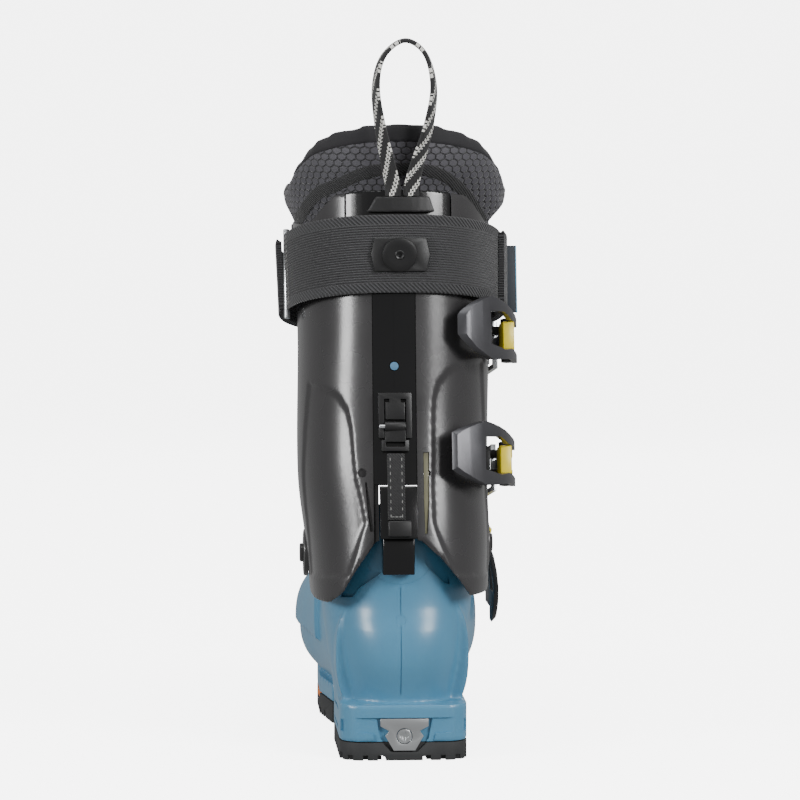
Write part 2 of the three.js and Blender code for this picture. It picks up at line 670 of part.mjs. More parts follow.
piece('liner_foot', linerFoot, cloth);
const footbedMiddle = bedTop + footWall + gap + footbedThick / 2;
const footbed = linerFootRoom.intersect(box(far, 2 * far, footbedThick, 0, 0, footbedMiddle))
  .intersect(forefoot(linerGrow - footWall - 0.8, -14).add(ankle(linerGrow - footWall - 2)));
piece('footbed', footbed, cloth);

const collar = prism(outline([
  [-far, linerTop], [pivotY - 42, linerTop], [pivotY - 18, linerTop - 9], [pivotY + 12, linerSide],
  [pivotY + 46, linerSide - 8], [pivotY + 78, linerSide - 8], [far, linerSide - 8], [far, far], [-far, far],
]), 'x', -far, far);
const linerGap = 0.8;
const collarLength = collarRise + 29.7;
// Inside the cuff the liner follows it; above the rim its collar swells to full width.
function collarBody(grow, start) {
  return loft((angle, share) => {
    const swell = 6.5 * Math.min(1, share * 3);
    return cuffPoint(angle, cuffTop + start + share * collarLength, -cuffWall - linerGap + swell + grow);
  }, 24, 4);
}
function linerBody(grow) {
  return cuffBody(-cuffWall - linerGap + grow).subtract(leanedBox(cuffTop + 4, cuffTop + 100))
    .add(collarBody(grow, 2));
}
const hollow = linerBody(-linerWall).add(collarBody(-linerWall, 4));
const tongueWidth = 52;
const tongueBand = prism(outline([
  [-tongueWidth / 2, 0], [-tongueWidth / 2, far], [tongueWidth / 2, far], [tongueWidth / 2, 0],
]), 'y', pivotY + 30, far);
const tongueSlot = prism(outline([
  [-tongueWidth / 2 - gap, 0], [-tongueWidth / 2 - gap, far],
  [tongueWidth / 2 + gap, far], [tongueWidth / 2 + gap, 0],
]), 'y', pivotY + 30, far);
const linerCuff = linerBody(0).subtract(hollow).intersect(cuffPart).subtract(collar).subtract(tongueSlot);
const tongue = linerBody(-gap).subtract(hollow).intersect(cuffPart)
  .intersect(tongueBand).subtract(box(far, far, far, 0, 0, linerTop - 6 + far / 2));
piece('liner_cuff', linerCuff, cloth);
piece('liner_tongue', tongue, cloth);

// ---------- Spoiler, power strap and its fittings ----------
const strapIn = 0.6;
const strapMid = cuffTop - strapDrop;
const strapLow = strapMid - strapWidth / 2;
const strapHigh = strapMid + strapWidth / 2;

// The strap hugs the cuff behind and stands off it at the sides.
function strapPoint(angle, along, grow) {
  const sideways = Math.abs(Math.cos(angle)) ** 1.5;
  const frontStep = flapStep * Math.max(0, Math.sin(angle));
  return cuffPoint(angle, along, strapIn + frontStep + strapGap * sideways + grow);
}
function strapBody(grow, low, high) {
  return loft((angle, share) => strapPoint(angle, low + share * (high - low), grow), 28, 2);
}
const spoiler = cuffSkin(-cuffWall + gap, -gap)
  .intersect(rearBand(spineShift + 3, spoilerWidth - 2 * gap, spoilerLow + gap, rimHeight + 1.3))
  .subtract(aboveRim);
piece('spoiler', spoiler, gloss);

const rodSpot = strapPoint(-Math.PI * 0.97, strapMid, 1.6);
const rodRadius = 1.8;
const ring = strapBody(strapThick, strapLow, strapHigh).subtract(strapBody(0, strapLow - 4, strapHigh + 4));
const rivetSpot = strapPoint(-Math.PI / 2, strapMid, 0);

function leanedPin(radius, length, centre, sides) {
  return solid(new THREE.CylinderGeometry(radius, radius, length, sides).rotateX(Math.PI / 2 - lean)
    .translate(centre.x, centre.y, centre.z));
}
const rodRoom = leanedPin(rodRadius + gap, 120, rodSpot, 12);

const rivetHole = pin(4.4, 40, 'y', [rivetSpot.x, rivetSpot.y, rivetSpot.z], 16);
const strapAxis = leaned(0, 0, strapMid).y;
const tabEnd = strapAxis - 11.5;
const rearStrap = ring.subtract(rodRoom).subtract(rivetHole)
  .subtract(box(far, far, far, -far / 2 - 20, rodSpot.y + 3 + far / 2, 0))
  .subtract(box(far, far, far, far / 2, tabEnd + far / 2, 0))
  .subtract(box(80, far, far, 0, tabEnd + far / 2, 0));
piece('power_strap', rearStrap, webbing);
piece('strap_rod', leanedPin(rodRadius, strapWidth + 8, rodSpot, 12), steel);
const frontRing = strapBody(2 * strapThick + gap, strapLow + 1, strapHigh - 1)
  .subtract(strapBody(strapThick + gap, strapLow - 4, strapHigh + 4));
const tabStart = strapAxis - 43.5;
const frontStrap = frontRing.subtract(box(far, far, far, -far / 2, rodSpot.y + 3 - far / 2, 0))
  .subtract(box(far, far, far, far / 2 - 1, tabStart - far / 2, 0)).subtract(rodRoom);
piece('strap_front', frontStrap, webbing);

const backingReach = 28;
const backing = strapBody(strapThick + gap + 1.6, strapLow, strapHigh)
  .subtract(strapBody(strapThick + gap, strapLow - 28, strapHigh + 30))
  .intersect(prism(outline([
    [-backingReach / 2 - 1, rivetSpot.z - 9], [-backingReach / 2 - 3, rivetSpot.z],
    [-backingReach / 2 - 1, rivetSpot.z + 9], [backingReach / 2 - 1, rivetSpot.z + 9],
    [backingReach / 2 + 1, rivetSpot.z], [backingReach / 2 - 1, rivetSpot.z - 9],
  ]), 'y', -far, 0)).subtract(rivetHole);
piece('strap_backing', backing, gloss);
const rivetTilt = 8.8 * DEG;
const rivetFace = rivetSpot.y - strapThick - 2 * gap - 2.6;
const rivetCap = solid(new THREE.CylinderGeometry(9.4, 9.4, 2, 24).rotateX(-rivetTilt)
  .translate(-1.6, rivetFace - 0.4, rivetSpot.z));
const rivet = rivetCap.add(pin(3.8, 9, 'y', [rivetSpot.x, rivetFace + 4, rivetSpot.z], 12))
  .subtract(pin(1.4, 3, 'y', [-1.6, rivetFace - 1.4, rivetSpot.z], 8)).subtract(cuffBody(gap));
piece('strap_rivet', rivet, gloss);

// ---------- Pull loop and its moulded tab ----------
const tabLow = rimHeight - 12.1;
const tabHigh = rimHeight - 3.7;
const loopTab = cuffSkin(gap, 3.4).intersect(prism(outline([
  [-19, tabLow], [-14, tabHigh], [15, tabHigh], [18, tabLow],
]), 'y', -far, 0));

piece('loop_tab', loopTab, rubber);

const loopRoute = new THREE.CatmullRomCurve3([
  [-4.8, -15, 303.4], [-5, -15, 309], [-7.4, -15.4, 321], [-11.5, -15.8, 340], [-14, -16, 362],
  [-10, -16, 378.5], [1.5, -16, 387], [12.5, -16, 380], [17.2, -16, 362], [14.2, -15.8, 340],
  [8.4, -15.4, 321], [5.4, -15, 309], [5.2, -15, 303.4],
].map(([x, y, z]) => new THREE.Vector3(x, y, z)));
const tape = new THREE.Shape();
tape.absellipse(0, 0, loopThick / 2, loopWidth / 2, 0, 2 * Math.PI);
const loopSettings = { steps: 26, curveSegments: 4, extrudePath: loopRoute, bevelEnabled: false };
const loopGeometry = new THREE.ExtrudeGeometry(tape, loopSettings);
piece('pull_loop', solid(loopGeometry), webbing);

// ---------- Buckles ----------
// Each buckle has its own frame: x along the shell from the hinge to the lever's free end,
// y along the hinge pin and z away from the shell.
function frameAt(origin, forward, outward) {
  const x = forward.clone().normalize();
  const z = outward.clone().addScaledVector(x, -outward.dot(x)).normalize();
  const y = z.clone().cross(x);
  return new THREE.Matrix4().makeBasis(x, y, z).setPosition(origin);
}

// The frame on the surface at an angle round it, with x towards smaller angles.
function surfaceFrame(surface, angle, rise) {
  const origin = surface(angle, rise);
  const forward = surface(angle - 0.02, rise).sub(origin);
  return frameAt(origin, forward, surface(angle, rise + 1).sub(origin));
}

function placed(manifold, frame) {
  return solid(shape(manifold).applyMatrix4(frame));
}

const armIn = 8;
const armWidth = 4;
const leverReach = 17.5; // half height of the lever at its widest
const bailHalf = 13;
const yokeAt = 27; // from the adjuster's pin to the wire loop
const baseLength = 24;
const padAhead = 7; // the pad's middle, towards the lever's free end
const padThick = 1.6;
const toothHeight = 2;
const toothPitch = 8;
const stripThick = 1.2;
const stripWidth = 18;

function leverOutline(length) {
  const root = armIn + armWidth;
  const flat = new THREE.Shape();
  flat.moveTo(-4, -root);
  flat.lineTo(length * 0.3, -root - 1);
  flat.lineTo(length * 0.78, -leverReach);
  flat.quadraticCurveTo(length * 0.95, -leverReach * 0.8, length, -leverReach * 0.3);
  flat.lineTo(length, leverReach * 0.3);
  flat.quadraticCurveTo(length * 0.95, leverReach * 0.8, length * 0.78, leverReach);
  flat.lineTo(length * 0.3, root + 1);
  flat.lineTo(-4, root);
  flat.closePath();
  return flat;
}

// The lever's side view is a curved strip that follows the shell.
function leverStrip(bend, end) {
  const lift = 2.4;
  const strip = new THREE.Shape();
  strip.moveTo(-5, lift);
  strip.lineTo(0, lift);
  strip.quadraticCurveTo(bend[0], bend[1] + lift, end.x, end.z + lift);
  strip.lineTo(end.x + 1, end.z + lift + leverThick);
  strip.quadraticCurveTo(bend[0] + 1, bend[1] + lift + leverThick, 0, lift + leverThick);
  strip.lineTo(-5, lift + leverThick);
  strip.closePath();
  return strip;
}

function buckleLever(spec, end, middle) {
  const bend = [2 * middle.x - end.x / 2, 2 * middle.z - end.z / 2];
  const slot = box(spec.length * 0.66 + 10, 2 * armIn, 80, spec.length * 0.33 - 5, 0, 0);
  const side = armIn + armWidth / 2;
  const axleHole = pin(1.8, 2 * leverReach, 'y', [0, 0, 0], 10);
  return prism(leverStrip(bend, end), 'y', -leverReach - 2, leverReach + 2)
    .intersect(prism(leverOutline(spec.length), 'z', -60, 20)).subtract(slot)
    .add(pin(3.6, armWidth, 'y', [0, side, 0], 12)).add(pin(3.6, armWidth, 'y', [0, -side, 0], 12))
    .subtract(axleHole);
}

// The base is a pad on the shell with two ears and a stub of the hinge pin in each.
function buckleBase(rise) {
  const earIn = earGap / 2;
  const earOut = armIn - 2 * gap;
  const middle = (earIn + earOut) / 2;
  const deep = rise + 8;
  const padTop = padThick - rise;
  let base = box(baseLength, 2 * earOut, deep, padAhead, 0, padTop - deep / 2);
  for (const side of [-1, 1]) {
    base = base.add(box(8, earOut - earIn, deep, 0, side * middle, -deep / 2))
      .add(pin(4, earOut - earIn, 'y', [0, side * middle, 0], 12))
      .add(pin(1.5, armWidth + 2 * gap + 1, 'y', [0, side * (earOut + armWidth / 2), 0], 10));
  }
  return base;
}

function buckleBail(reach) {
  return box(yokeAt - 4, earGap - 1, wire, -(yokeAt + 4) / 2, 0, 0)
    .add(box(wire, 2 * bailHalf, wire, -yokeAt, 0, 0))
    .add(box(wire, 2 * bailHalf, wire, -reach, 0, 0))
    .add(box(reach - yokeAt, wire, wire, -(reach + yokeAt) / 2, bailHalf - wire / 2, 0))
    .add(box(reach - yokeAt, wire, wire, -(reach + yokeAt) / 2, -bailHalf + wire / 2, 0));
}

function ladder(spec, surface, body) {
  const frame = surfaceFrame(surface, spec.ladder, spec.step);
  const perMm = 0.02 / surface(spec.ladder, spec.step).distanceTo(surface(spec.ladder + 0.02, spec.step));
  const strip = placed(box(toothPitch * 3.6, stripWidth, 60, toothPitch * 0.5, 0, 0), frame);
  let made = body(spec.step + gap + stripThick).intersect(strip);
  for (const count of [-1, 0, 1]) {
    const angle = spec.ladder + perMm * (count * toothPitch - wire / 2 - toothHeight - 1.3);
    const tooth = box(2.6, stripWidth - 4, toothHeight + 2, 0, 0, gap + stripThick + toothHeight / 2 - 1);
    made = made.add(placed(tooth, surfaceFrame(surface, angle, spec.step)));
  }
  return made.subtract(body(spec.step + gap));
}

function buckle(name, spec, surface, body) {
  const frame = surfaceFrame(surface, spec.hinge, spec.rise);
  const local = frame.clone().invert();
  const end = surface(spec.free, spec.rise * 0.75).applyMatrix4(local);
  const middle = surface((spec.hinge + spec.free) / 2, spec.rise * 0.9).applyMatrix4(local);
  piece(`${name}_lever`, placed(buckleLever(spec, end, middle), frame).subtract(body(1)), buckleGrey);
  piece(`${name}_base`, placed(buckleBase(spec.rise), frame).subtract(body(gap)), buckleGrey);

  // Closed, the line from the adjuster's pin to the hook passes under the hinge pin.
  const hook = surface(spec.ladder, spec.step + gap + stripThick + wire / 2 + 1.8).applyMatrix4(local);
  const under = new THREE.Vector3(0, 0, -spec.pass);
  const line = under.clone().sub(hook).normalize();
  const centre = under.clone().addScaledVector(line, bailArm);
  const reach = centre.distanceTo(hook);
  const bailFrame = frameAt(centre, line, new THREE.Vector3(0, 0, 1)).premultiply(frame);
  piece(`${name}_adjuster`, placed(box(10, 2 * armIn - 2 * gap, 6.4, 1.6, 0, 0), bailFrame), yellow);
  piece(`${name}_bail`, placed(buckleBail(reach), bailFrame), steel);
  piece(`${name}_ladder`, ladder(spec, surface, body), buckleGrey);
}

const lowerCuffAt = 42.5; // heights of the cuff's buckles along its leaning axis
const upperCuffAt = cuffTop - 73;
const instepAt = 116; // places of the lower shell's buckles along the foot
const toeAt = 178;
const cuffBuckle = {
  hinge: -0.1, free: -1.2, ladder: 0.6, length: 56, rise: hingeRise, pass: 3.4, step: flapStep,
};
const instepBuckle = {
  hinge: 0.86, free: -0.1, ladder: 1.62, length: 50, rise: hingeRise, pass: 3.4, step: flapStep,
};
const toeBuckle = {
  hinge: 0.9, free: 0.02, ladder: 1.66, length: 44, rise: hingeRise + 1, pass: 3.4, step: flapStep,
};
buckle('lower_cuff_buckle', cuffBuckle, (angle, grow) => cuffPoint(angle, lowerCuffAt, grow), cuffBody);
buckle('upper_cuff_buckle', cuffBuckle, (angle, grow) => cuffPoint(angle, upperCuffAt, grow), cuffBody);
buckle('instep_buckle', instepBuckle, (angle, grow) => forefootPoint(angle, instepAt, grow), forefoot);
buckle('toe_buckle', toeBuckle, (angle, grow) => forefootPoint(angle, toeAt, grow), forefoot);
piece('lower_shell', lowerShell, blue);

export default boot;
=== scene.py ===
import json
import math

import bmesh
import bpy
from mathutils import Matrix, Vector


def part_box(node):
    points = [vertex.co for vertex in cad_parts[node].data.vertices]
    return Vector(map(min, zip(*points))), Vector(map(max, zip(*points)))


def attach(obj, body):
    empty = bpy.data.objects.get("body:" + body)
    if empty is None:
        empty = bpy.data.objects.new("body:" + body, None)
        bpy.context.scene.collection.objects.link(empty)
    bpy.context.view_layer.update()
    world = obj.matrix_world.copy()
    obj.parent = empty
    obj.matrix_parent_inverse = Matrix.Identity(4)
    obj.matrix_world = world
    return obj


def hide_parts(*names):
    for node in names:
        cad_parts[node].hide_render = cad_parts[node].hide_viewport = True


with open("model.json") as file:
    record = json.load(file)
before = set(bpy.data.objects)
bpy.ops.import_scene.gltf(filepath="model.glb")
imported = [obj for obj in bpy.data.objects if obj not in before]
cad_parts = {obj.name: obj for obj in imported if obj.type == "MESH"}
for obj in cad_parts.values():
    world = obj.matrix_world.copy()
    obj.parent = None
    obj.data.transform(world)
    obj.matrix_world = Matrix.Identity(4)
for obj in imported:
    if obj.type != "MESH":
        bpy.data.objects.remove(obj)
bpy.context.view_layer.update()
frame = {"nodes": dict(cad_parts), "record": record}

bl_info = {
    "name": "Freeride ski boot",
    "version": (1, 0, 0),
    "blender": (4, 5, 0),
    "location": "View3D > Sidebar > Ski boot",
    "description": "Builds a walk-mode ski boot around its packed frame",
    "category": "Add Mesh",
}

# Sizes are in millimetres here, and each finished piece is brought to metres.
MM = 0.001
TURN = 2 * math.pi
FAR = 900
RECORD = frame["record"]
SLOT_OF = {part["node"]: part["material_slot"] for part in RECORD["subparts"]}
BODY_OF = {node: body for body, nodes in RECORD["behaviour"]["bodies"].items() for node in nodes}
FINISHES = {}


def linear(code):
    """The linear colour of an sRGB hex code."""
    values = [int(code[i : i + 2], 16) / 255 for i in (1, 3, 5)]
    return tuple(v / 12.92 if v < 0.04045 else ((v + 0.055) / 1.055) ** 2.4 for v in values)


# ---------- Surfaces of the boot ----------
GAP = 0.3
SOLE_LENGTH = 306
HEEL_BACK = -40
TOE_TIP = HEEL_BACK + SOLE_LENGTH
TOE_BOX_TIP = TOE_TIP - 14
BALL_INNER = 48
BALL_OUTER = 53
ANKLE_INNER = 44.6
ANKLE_OUTER = 43
SHELL_WALL = 4.5
CAVITY_FLOOR = 24
INSTEP_TOP = 114
TOE_BOX_TOP = 80
SHELL_BACK_TOP = 140
THROAT_TOP = 119
PIVOT_Y = 30
PIVOT_Z = 108
PIVOT_TILT = 4.9
LEAN = math.radians(13)
CUFF_TOP = 184
CUFF_WALL = 4.2
CUFF_INNER = 55
CUFF_OUTER = 49
CUFF_BACK = 73.5
CUFF_BACK_TOP = 86.5
CUFF_FRONT = 45
CUFF_TIP_INNER = 84
CUFF_TIP_OUTER = 88
ARCH_TOP = 120
FRONT_EDGE = 152
SPINE_SHIFT = -4.6
CHANNEL_WIDTH = 23.6
CHANNEL_DEPTH = 2.4
LATCH_SHIFT = -3.2
LATCH_WIDTH = 20
LATCH_HOOD_TOP = 148
STRAP_MID = CUFF_TOP - 35
STRAP_WIDTH = 42
STRAP_THICK = 3
FLAP_STEP = 2.6
RIM_HEIGHT = PIVOT_Z + CUFF_TOP * math.cos(LEAN) + CUFF_BACK_TOP * math.sin(LEAN)
CHANNEL_TOP = RIM_HEIGHT - 21.7
SPOILER_LOW = CHANNEL_TOP + 1
LINER_TOP = RIM_HEIGHT + 36.3
LINER_SIDE = RIM_HEIGHT + 7.3


def through(pairs):
    """A smooth curve through a few (place, value) pairs."""
    last = len(pairs) - 1

    def slope(i):
        low, high = pairs[max(i - 1, 0)], pairs[min(i + 1, last)]
        return (high[1] - low[1]) / (high[0] - low[0])

    def value(place):
        inside = min(max(place, pairs[0][0]), pairs[last][0])
        i = min(sum(1 for start, _ in pairs if start <= inside) - 1, last - 1)
        width = pairs[i + 1][0] - pairs[i][0]
        t = (inside - pairs[i][0]) / width
        hold = pairs[i][1] * (2 * t**3 - 3 * t**2 + 1) + pairs[i + 1][1] * (3 * t**2 - 2 * t**3)
        return hold + width * (slope(i) * (t**3 - 2 * t**2 + t) + slope(i + 1) * (t**3 - t**2))

    return value


def squared(value, power):
    """A sine or cosine drawn out towards a squarer outline."""
    return math.copysign(abs(value) ** (2 / power), value)


foot_inner = through([(0, 0.74), (0.3, 0.8), (0.5, 0.88), (0.72, 1), (0.84, 0.93), (1, 0.8)])
foot_outer = through([(0, 0.66), (0.3, 0.78), (0.45, 0.91), (0.62, 1), (0.78, 0.97), (1, 0.74)])
foot_top = through([
    (0, INSTEP_TOP - 24), (0.3, INSTEP_TOP), (0.42, INSTEP_TOP - 1), (0.6, INSTEP_TOP - 18),
    (0.75, TOE_BOX_TOP + 4), (0.88, TOE_BOX_TOP - 2), (1, TOE_BOX_TOP - 10),
])
ankle_back = through([
    (0, 34), (30, 33.5), (52, 39.4), (68, 39), (82, 34), (100, 32.6), (120, 30.6), (150, 26), (180, 20),
])
ankle_front = through([(0, 60), (40, 78), (80, 88), (108, 84), (180, 78)])
ankle_side = through([(0, 0.76), (30, 0.79), (55, 0.87), (80, 0.94), (108, 1), (150, 1.02), (180, 1.02)])
back_line = through([
    (-30, CUFF_BACK - 0.5), (0, CUFF_BACK), (60, CUFF_BACK + 1.5), (120, CUFF_BACK + 6.5),
    (CUFF_TOP, CUFF_BACK_TOP), (CUFF_TOP + 60, CUFF_BACK_TOP + 3),
])
front_line = through([
    (-30, CUFF_FRONT + 56), (0, CUFF_FRONT + 40), (40, CUFF_FRONT + 12), (120, CUFF_FRONT),
    (CUFF_TOP, CUFF_FRONT + 1), (CUFF_TOP + 60, CUFF_FRONT + 1),
])
inner_line = through([
    (-30, CUFF_INNER - 7), (0, CUFF_INNER - 4.6), (40, CUFF_INNER), (120, CUFF_INNER - 0.6),
    (CUFF_TOP, CUFF_INNER + 1.5), (CUFF_TOP + 60, CUFF_INNER + 2),
])
outer_line = through([
    (-30, CUFF_OUTER - 1), (0, CUFF_OUTER + 0.6), (40, CUFF_OUTER), (120, CUFF_OUTER + 2.4),
    (CUFF_TOP, CUFF_OUTER + 3.4), (CUFF_TOP + 60, CUFF_OUTER + 5),
])


def toe_round(y):
    start = TOE_BOX_TIP - 56
    t = min(max((y - start) / (TOE_BOX_TIP - start), 0), 1)
    return math.sqrt(1 - 0.9 * t**3)


def forefoot_point(angle, y, grow):
    """A place on the forefoot, which runs along Y, grown outwards."""
    share = (y - HEEL_BACK) / SOLE_LENGTH
    blunt = toe_round(y)
    side = BALL_OUTER * foot_outer(share) if math.cos(angle) > 0 else BALL_INNER * foot_inner(share)
    low = CAVITY_FLOOR - SHELL_WALL - 6 - grow
    high = low + grow + (foot_top(share) - low) * (0.45 + 0.55 * blunt) + grow
    x = squared(math.cos(angle), 2.5) * (side * blunt + grow)
    return Vector((x, y, (low + high) / 2 + squared(math.sin(angle), 2.5) * (high - low) / 2))


def ankle_point(angle, z, grow):
    """A place on the ankle part of the lower shell, which runs up Z."""
    back, front = ankle_back(z) + grow, ankle_front(z) + grow
    side = (ANKLE_OUTER if math.cos(angle) > 0 else ANKLE_INNER) * ankle_side(z) + grow
    y = (front - back) / 2 + squared(math.sin(angle), 2.4) * (front + back) / 2
    return Vector((squared(math.cos(angle), 2.4) * side, y, z))


def leaned(x, forward, along):
    """A place given across, forward of and along the cuff's leaning axis."""
    y = PIVOT_Y + forward * math.cos(LEAN) + along * math.sin(LEAN)
    return Vector((x, y, PIVOT_Z - forward * math.sin(LEAN) + along * math.cos(LEAN)))


def cuff_point(angle, along, grow):
    side = (outer_line(along) if math.cos(angle) > 0 else inner_line(along)) + grow
    reach = front_line(along) + 18 if math.sin(angle) > 0 else back_line(along) - 18
    forward = -18 + squared(math.sin(angle), 2.3) * (reach + grow)
    return leaned(squared(math.cos(angle), 2.3) * side, forward, along)


def strap_point(angle, along, grow):
    """The strap hugs the cuff behind and stands off it at the sides."""
    sideways = abs(math.cos(angle)) ** 1.5
    front_step = FLAP_STEP * max(0, math.sin(angle))
    return cuff_point(angle, along, 0.6 + front_step + 3.2 * sideways + grow)


# ---------- Mesh tools ----------
def lofted(spot, sides, rings):
    """A closed tube: a grid bent round so that spot(angle, share) gives each place."""
    bm = bmesh.new()
    bmesh.ops.create_grid(bm, x_segments=sides, y_segments=rings, size=0.5)
    for vert in bm.verts:
        vert.co = spot((vert.co.x + 0.5) * TURN, vert.co.y + 0.5)
    bmesh.ops.remove_doubles(bm, verts=bm.verts, dist=0.001)
    bmesh.ops.holes_fill(bm, edges=[e for e in bm.edges if e.is_boundary], sides=0)
    bmesh.ops.recalc_face_normals(bm, faces=bm.faces)
    return bm


def prism(points, axis, low, high):
    """A flat outline made solid: across X (Y, Z), along Y (X, Z) or along Z (X, Y)."""
    places = {
        "x": lambda a, b: (low, a, b), "y": lambda a, b: (a, low, b), "z": lambda a, b: (a, b, low),
    }
    place = places[axis]
    bm = bmesh.new()
    face = bm.faces.new([bm.verts.new(place(a, b)) for a, b in points])
    out = bmesh.ops.extrude_face_region(bm, geom=[face])
    step = Vector([high - low if name == axis else 0 for name in "xyz"])
    bmesh.ops.translate(bm, vec=step, verts=[v for v in out["geom"] if isinstance(v, bmesh.types.BMVert)])
    bmesh.ops.recalc_face_normals(bm, faces=bm.faces)
    return bm


def block(size, centre, turn=None):
    bm = bmesh.new()
    where = Matrix.Translation(centre) @ (turn or Matrix()) @ Matrix.Diagonal((*size, 1))
    bmesh.ops.create_cube(bm, size=1, matrix=where)
    return bm


ALONG = {"x": Matrix.Rotation(math.pi / 2, 4, "Y"), "y": Matrix.Rotation(math.pi / 2, 4, "X"), "z": Matrix()}


def pin(radius, length, axis, centre, sides=32, tip=None):
    bm = bmesh.new()
    top = radius if tip is None else tip
    turn = axis if isinstance(axis, Matrix) else ALONG[axis]
    bmesh.ops.create_cone(
        bm, cap_ends=True, segments=sides, radius1=radius, radius2=top, depth=length,
        matrix=Matrix.Translation(centre) @ turn,
    )
    return bm


def turned(profile, steps, where):
    """A ring or disc: a profile of (radius, height) points spun round Z, then put in place."""
    bm = bmesh.new()
    verts = [bm.verts.new((radius, 0, height)) for radius, height in profile]
    edges = [bm.edges.new(pair) for pair in zip(verts, verts[1:])]
    if (verts[0].co - verts[-1].co).length > 0.001 and profile[0][0] > 0.001:
        edges.append(bm.edges.new((verts[-1], verts[0])))
    bmesh.ops.spin(
        bm, geom=verts + edges, angle=TURN, steps=steps, axis=(0, 0, 1), cent=(0, 0, 0), use_merge=True,
    )
    bmesh.ops.remove_doubles(bm, verts=bm.verts, dist=0.001)
    bmesh.ops.recalc_face_normals(bm, faces=bm.faces)
    bmesh.ops.transform(bm, matrix=where, verts=bm.verts)
    return bm


def work_object(bm):
    mesh = bpy.data.meshes.new("work")
    bm.to_mesh(mesh)
    bm.free()
    made = bpy.data.objects.new("work", mesh)
    bpy.context.scene.collection.objects.link(made)
    return made


def settle(made):
    """Applies an object's modifiers to its mesh."""
    bpy.context.view_layer.update()
    graph = bpy.context.evaluated_depsgraph_get()
    mesh = bpy.data.meshes.new_from_object(made.evaluated_get(graph))
    made.modifiers.clear()
    old = made.data
    made.data = mesh
    bpy.data.meshes.remove(old)
    return made


def combined(base, others, how="DIFFERENCE"):
    """base with each of the other solids cut away, added or kept in common."""
    made = base if isinstance(base, bpy.types.Object) else work_object(base)
    for other in others:
        tool = other if isinstance(other, bpy.types.Object) else work_object(other)
        cut = made.modifiers.new("cut", "BOOLEAN")
        cut.operation = how
        cut.solver = "MANIFOLD"
        cut.object = tool
        settle(made)
        if not made.data.polygons:
            raise RuntimeError("a boolean step left nothing")
        bpy.data.objects.remove(tool)
    return made


def moulded(made, voxel, smooth, keep):
    """Rounds every edge as a mould does: an even remesh, a light smoothing and fewer faces."""
    remesh = made.modifiers.new("even", "REMESH")
    remesh.mode = "VOXEL"
    remesh.voxel_size = voxel
    remesh.use_smooth_shade = True
    soften = made.modifiers.new("soften", "SMOOTH")
    soften.factor = 0.5
    soften.iterations = smooth
    if keep < 1:
        fewer = made.modifiers.new("fewer", "DECIMATE")
        fewer.ratio = keep
    return settle(made)


def as_bmesh(made):
    bm = bmesh.new()
    bm.from_mesh(made.data)
    bpy.data.objects.remove(made)
    return bm


def publish(name, source, body, finish, slot, replaces=(), sharp=40, metres=False):
    """The finished piece: in metres at the origin, with its finish, riding on its body."""
    bm = as_bmesh(source) if isinstance(source, bpy.types.Object) else source
    if not metres:
        bmesh.ops.scale(bm, vec=(MM, MM, MM), verts=bm.verts)
    mesh = bpy.data.meshes.new(name)
    bm.to_mesh(mesh)
    bm.free()
    mesh.shade_smooth()
    mesh.set_sharp_from_angle(angle=math.radians(sharp))
    mesh.materials.append(FINISHES[finish])
    made = bpy.data.objects.new(name, mesh)
    bpy.context.scene.collection.objects.link(made)
    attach(made, body)
    if replaces:
        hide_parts(*replaces)
    return made


def joined(parts):
    """Several bmeshes as one."""
    whole = bmesh.new()
    for part in parts:
        mesh = bpy.data.meshes.new("part")
        part.to_mesh(mesh)
        part.free()
        whole.from_mesh(mesh)
        bpy.data.meshes.remove(mesh)
    return whole


def span(node):
    """The two opposite corners of a CAD node's box, in millimetres."""
    return (Vector(corner) * 1000 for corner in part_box(node))


def node_copy(node):
    """A CAD node's solid in millimetres, with its doubles merged."""
    bm = bmesh.new()
    bm.from_mesh(frame["nodes"][node].data)
    bmesh.ops.transform(bm, matrix=frame["nodes"][node].matrix_world, verts=bm.verts)
    bmesh.ops.scale(bm, vec=(1000, 1000, 1000), verts=bm.verts)
    bmesh.ops.remove_doubles(bm, verts=bm.verts, dist=0.002)
    return bm


def eased(bm, width, segments=2, corner=28):
    """Flat faces joined up and every sharp edge rounded."""
    bmesh.ops.dissolve_limit(bm, angle_limit=math.radians(2.5), verts=bm.verts, edges=bm.edges)
    bm.normal_update()
    sharp = [e for e in bm.edges if e.is_manifold and e.calc_face_angle(0) > math.radians(corner)]
    bmesh.ops.bevel(
        bm, geom=sharp, offset=width, offset_type="OFFSET", segments=segments, profile=0.5,
        affect="EDGES", clamp_overlap=True, material=-1,
    )
    return bm


def refined(node, finish, width, cuts=(), name=None, sharp=40, segments=2):
    """A detailed piece that stands for a small CAD node: cut, then with rounded edges."""
    bm = node_copy(node)
    if cuts:
        bm = as_bmesh(combined(bm, cuts))
    eased(bm, width, segments)
    return publish(name or node + "_part", bm, BODY_OF[node], finish, SLOT_OF[node], [node], sharp)


def stitches(places, across, length, thick):
    """A row of sewn stitches: one short rounded bar at each (place, direction, outward)."""
    bars = []
    for place, direction, outward in places:
        side = outward.cross(direction).normalized()
        turn = Matrix((direction.normalized(), side, outward.normalized())).transposed().to_4x4()
        bm = bmesh.new()
        bmesh.ops.create_icosphere(bm, subdivisions=1, radius=0.5)
        size = Matrix.Diagonal((length, across, thick, 1))
        bmesh.ops.transform(bm, matrix=Matrix.Translation(place) @ turn @ size, verts=bm.verts)
        bars.append(bm)
    return joined(bars)


# ---------- Materials ----------
def add(tree, kind, settings=None, inputs=None):
    """Adds a node with its settings; an input is a number, a colour or another node's socket."""
    made = tree.nodes.new(kind)
    for key, value in (settings or {}).items():
        setattr(made, key, value)
    for key, value in (inputs or {}).items():
        if isinstance(value, bpy.types.NodeSocket):
            tree.links.new(value, made.inputs[key])
        else:
            made.inputs[key].default_value = value
    return made


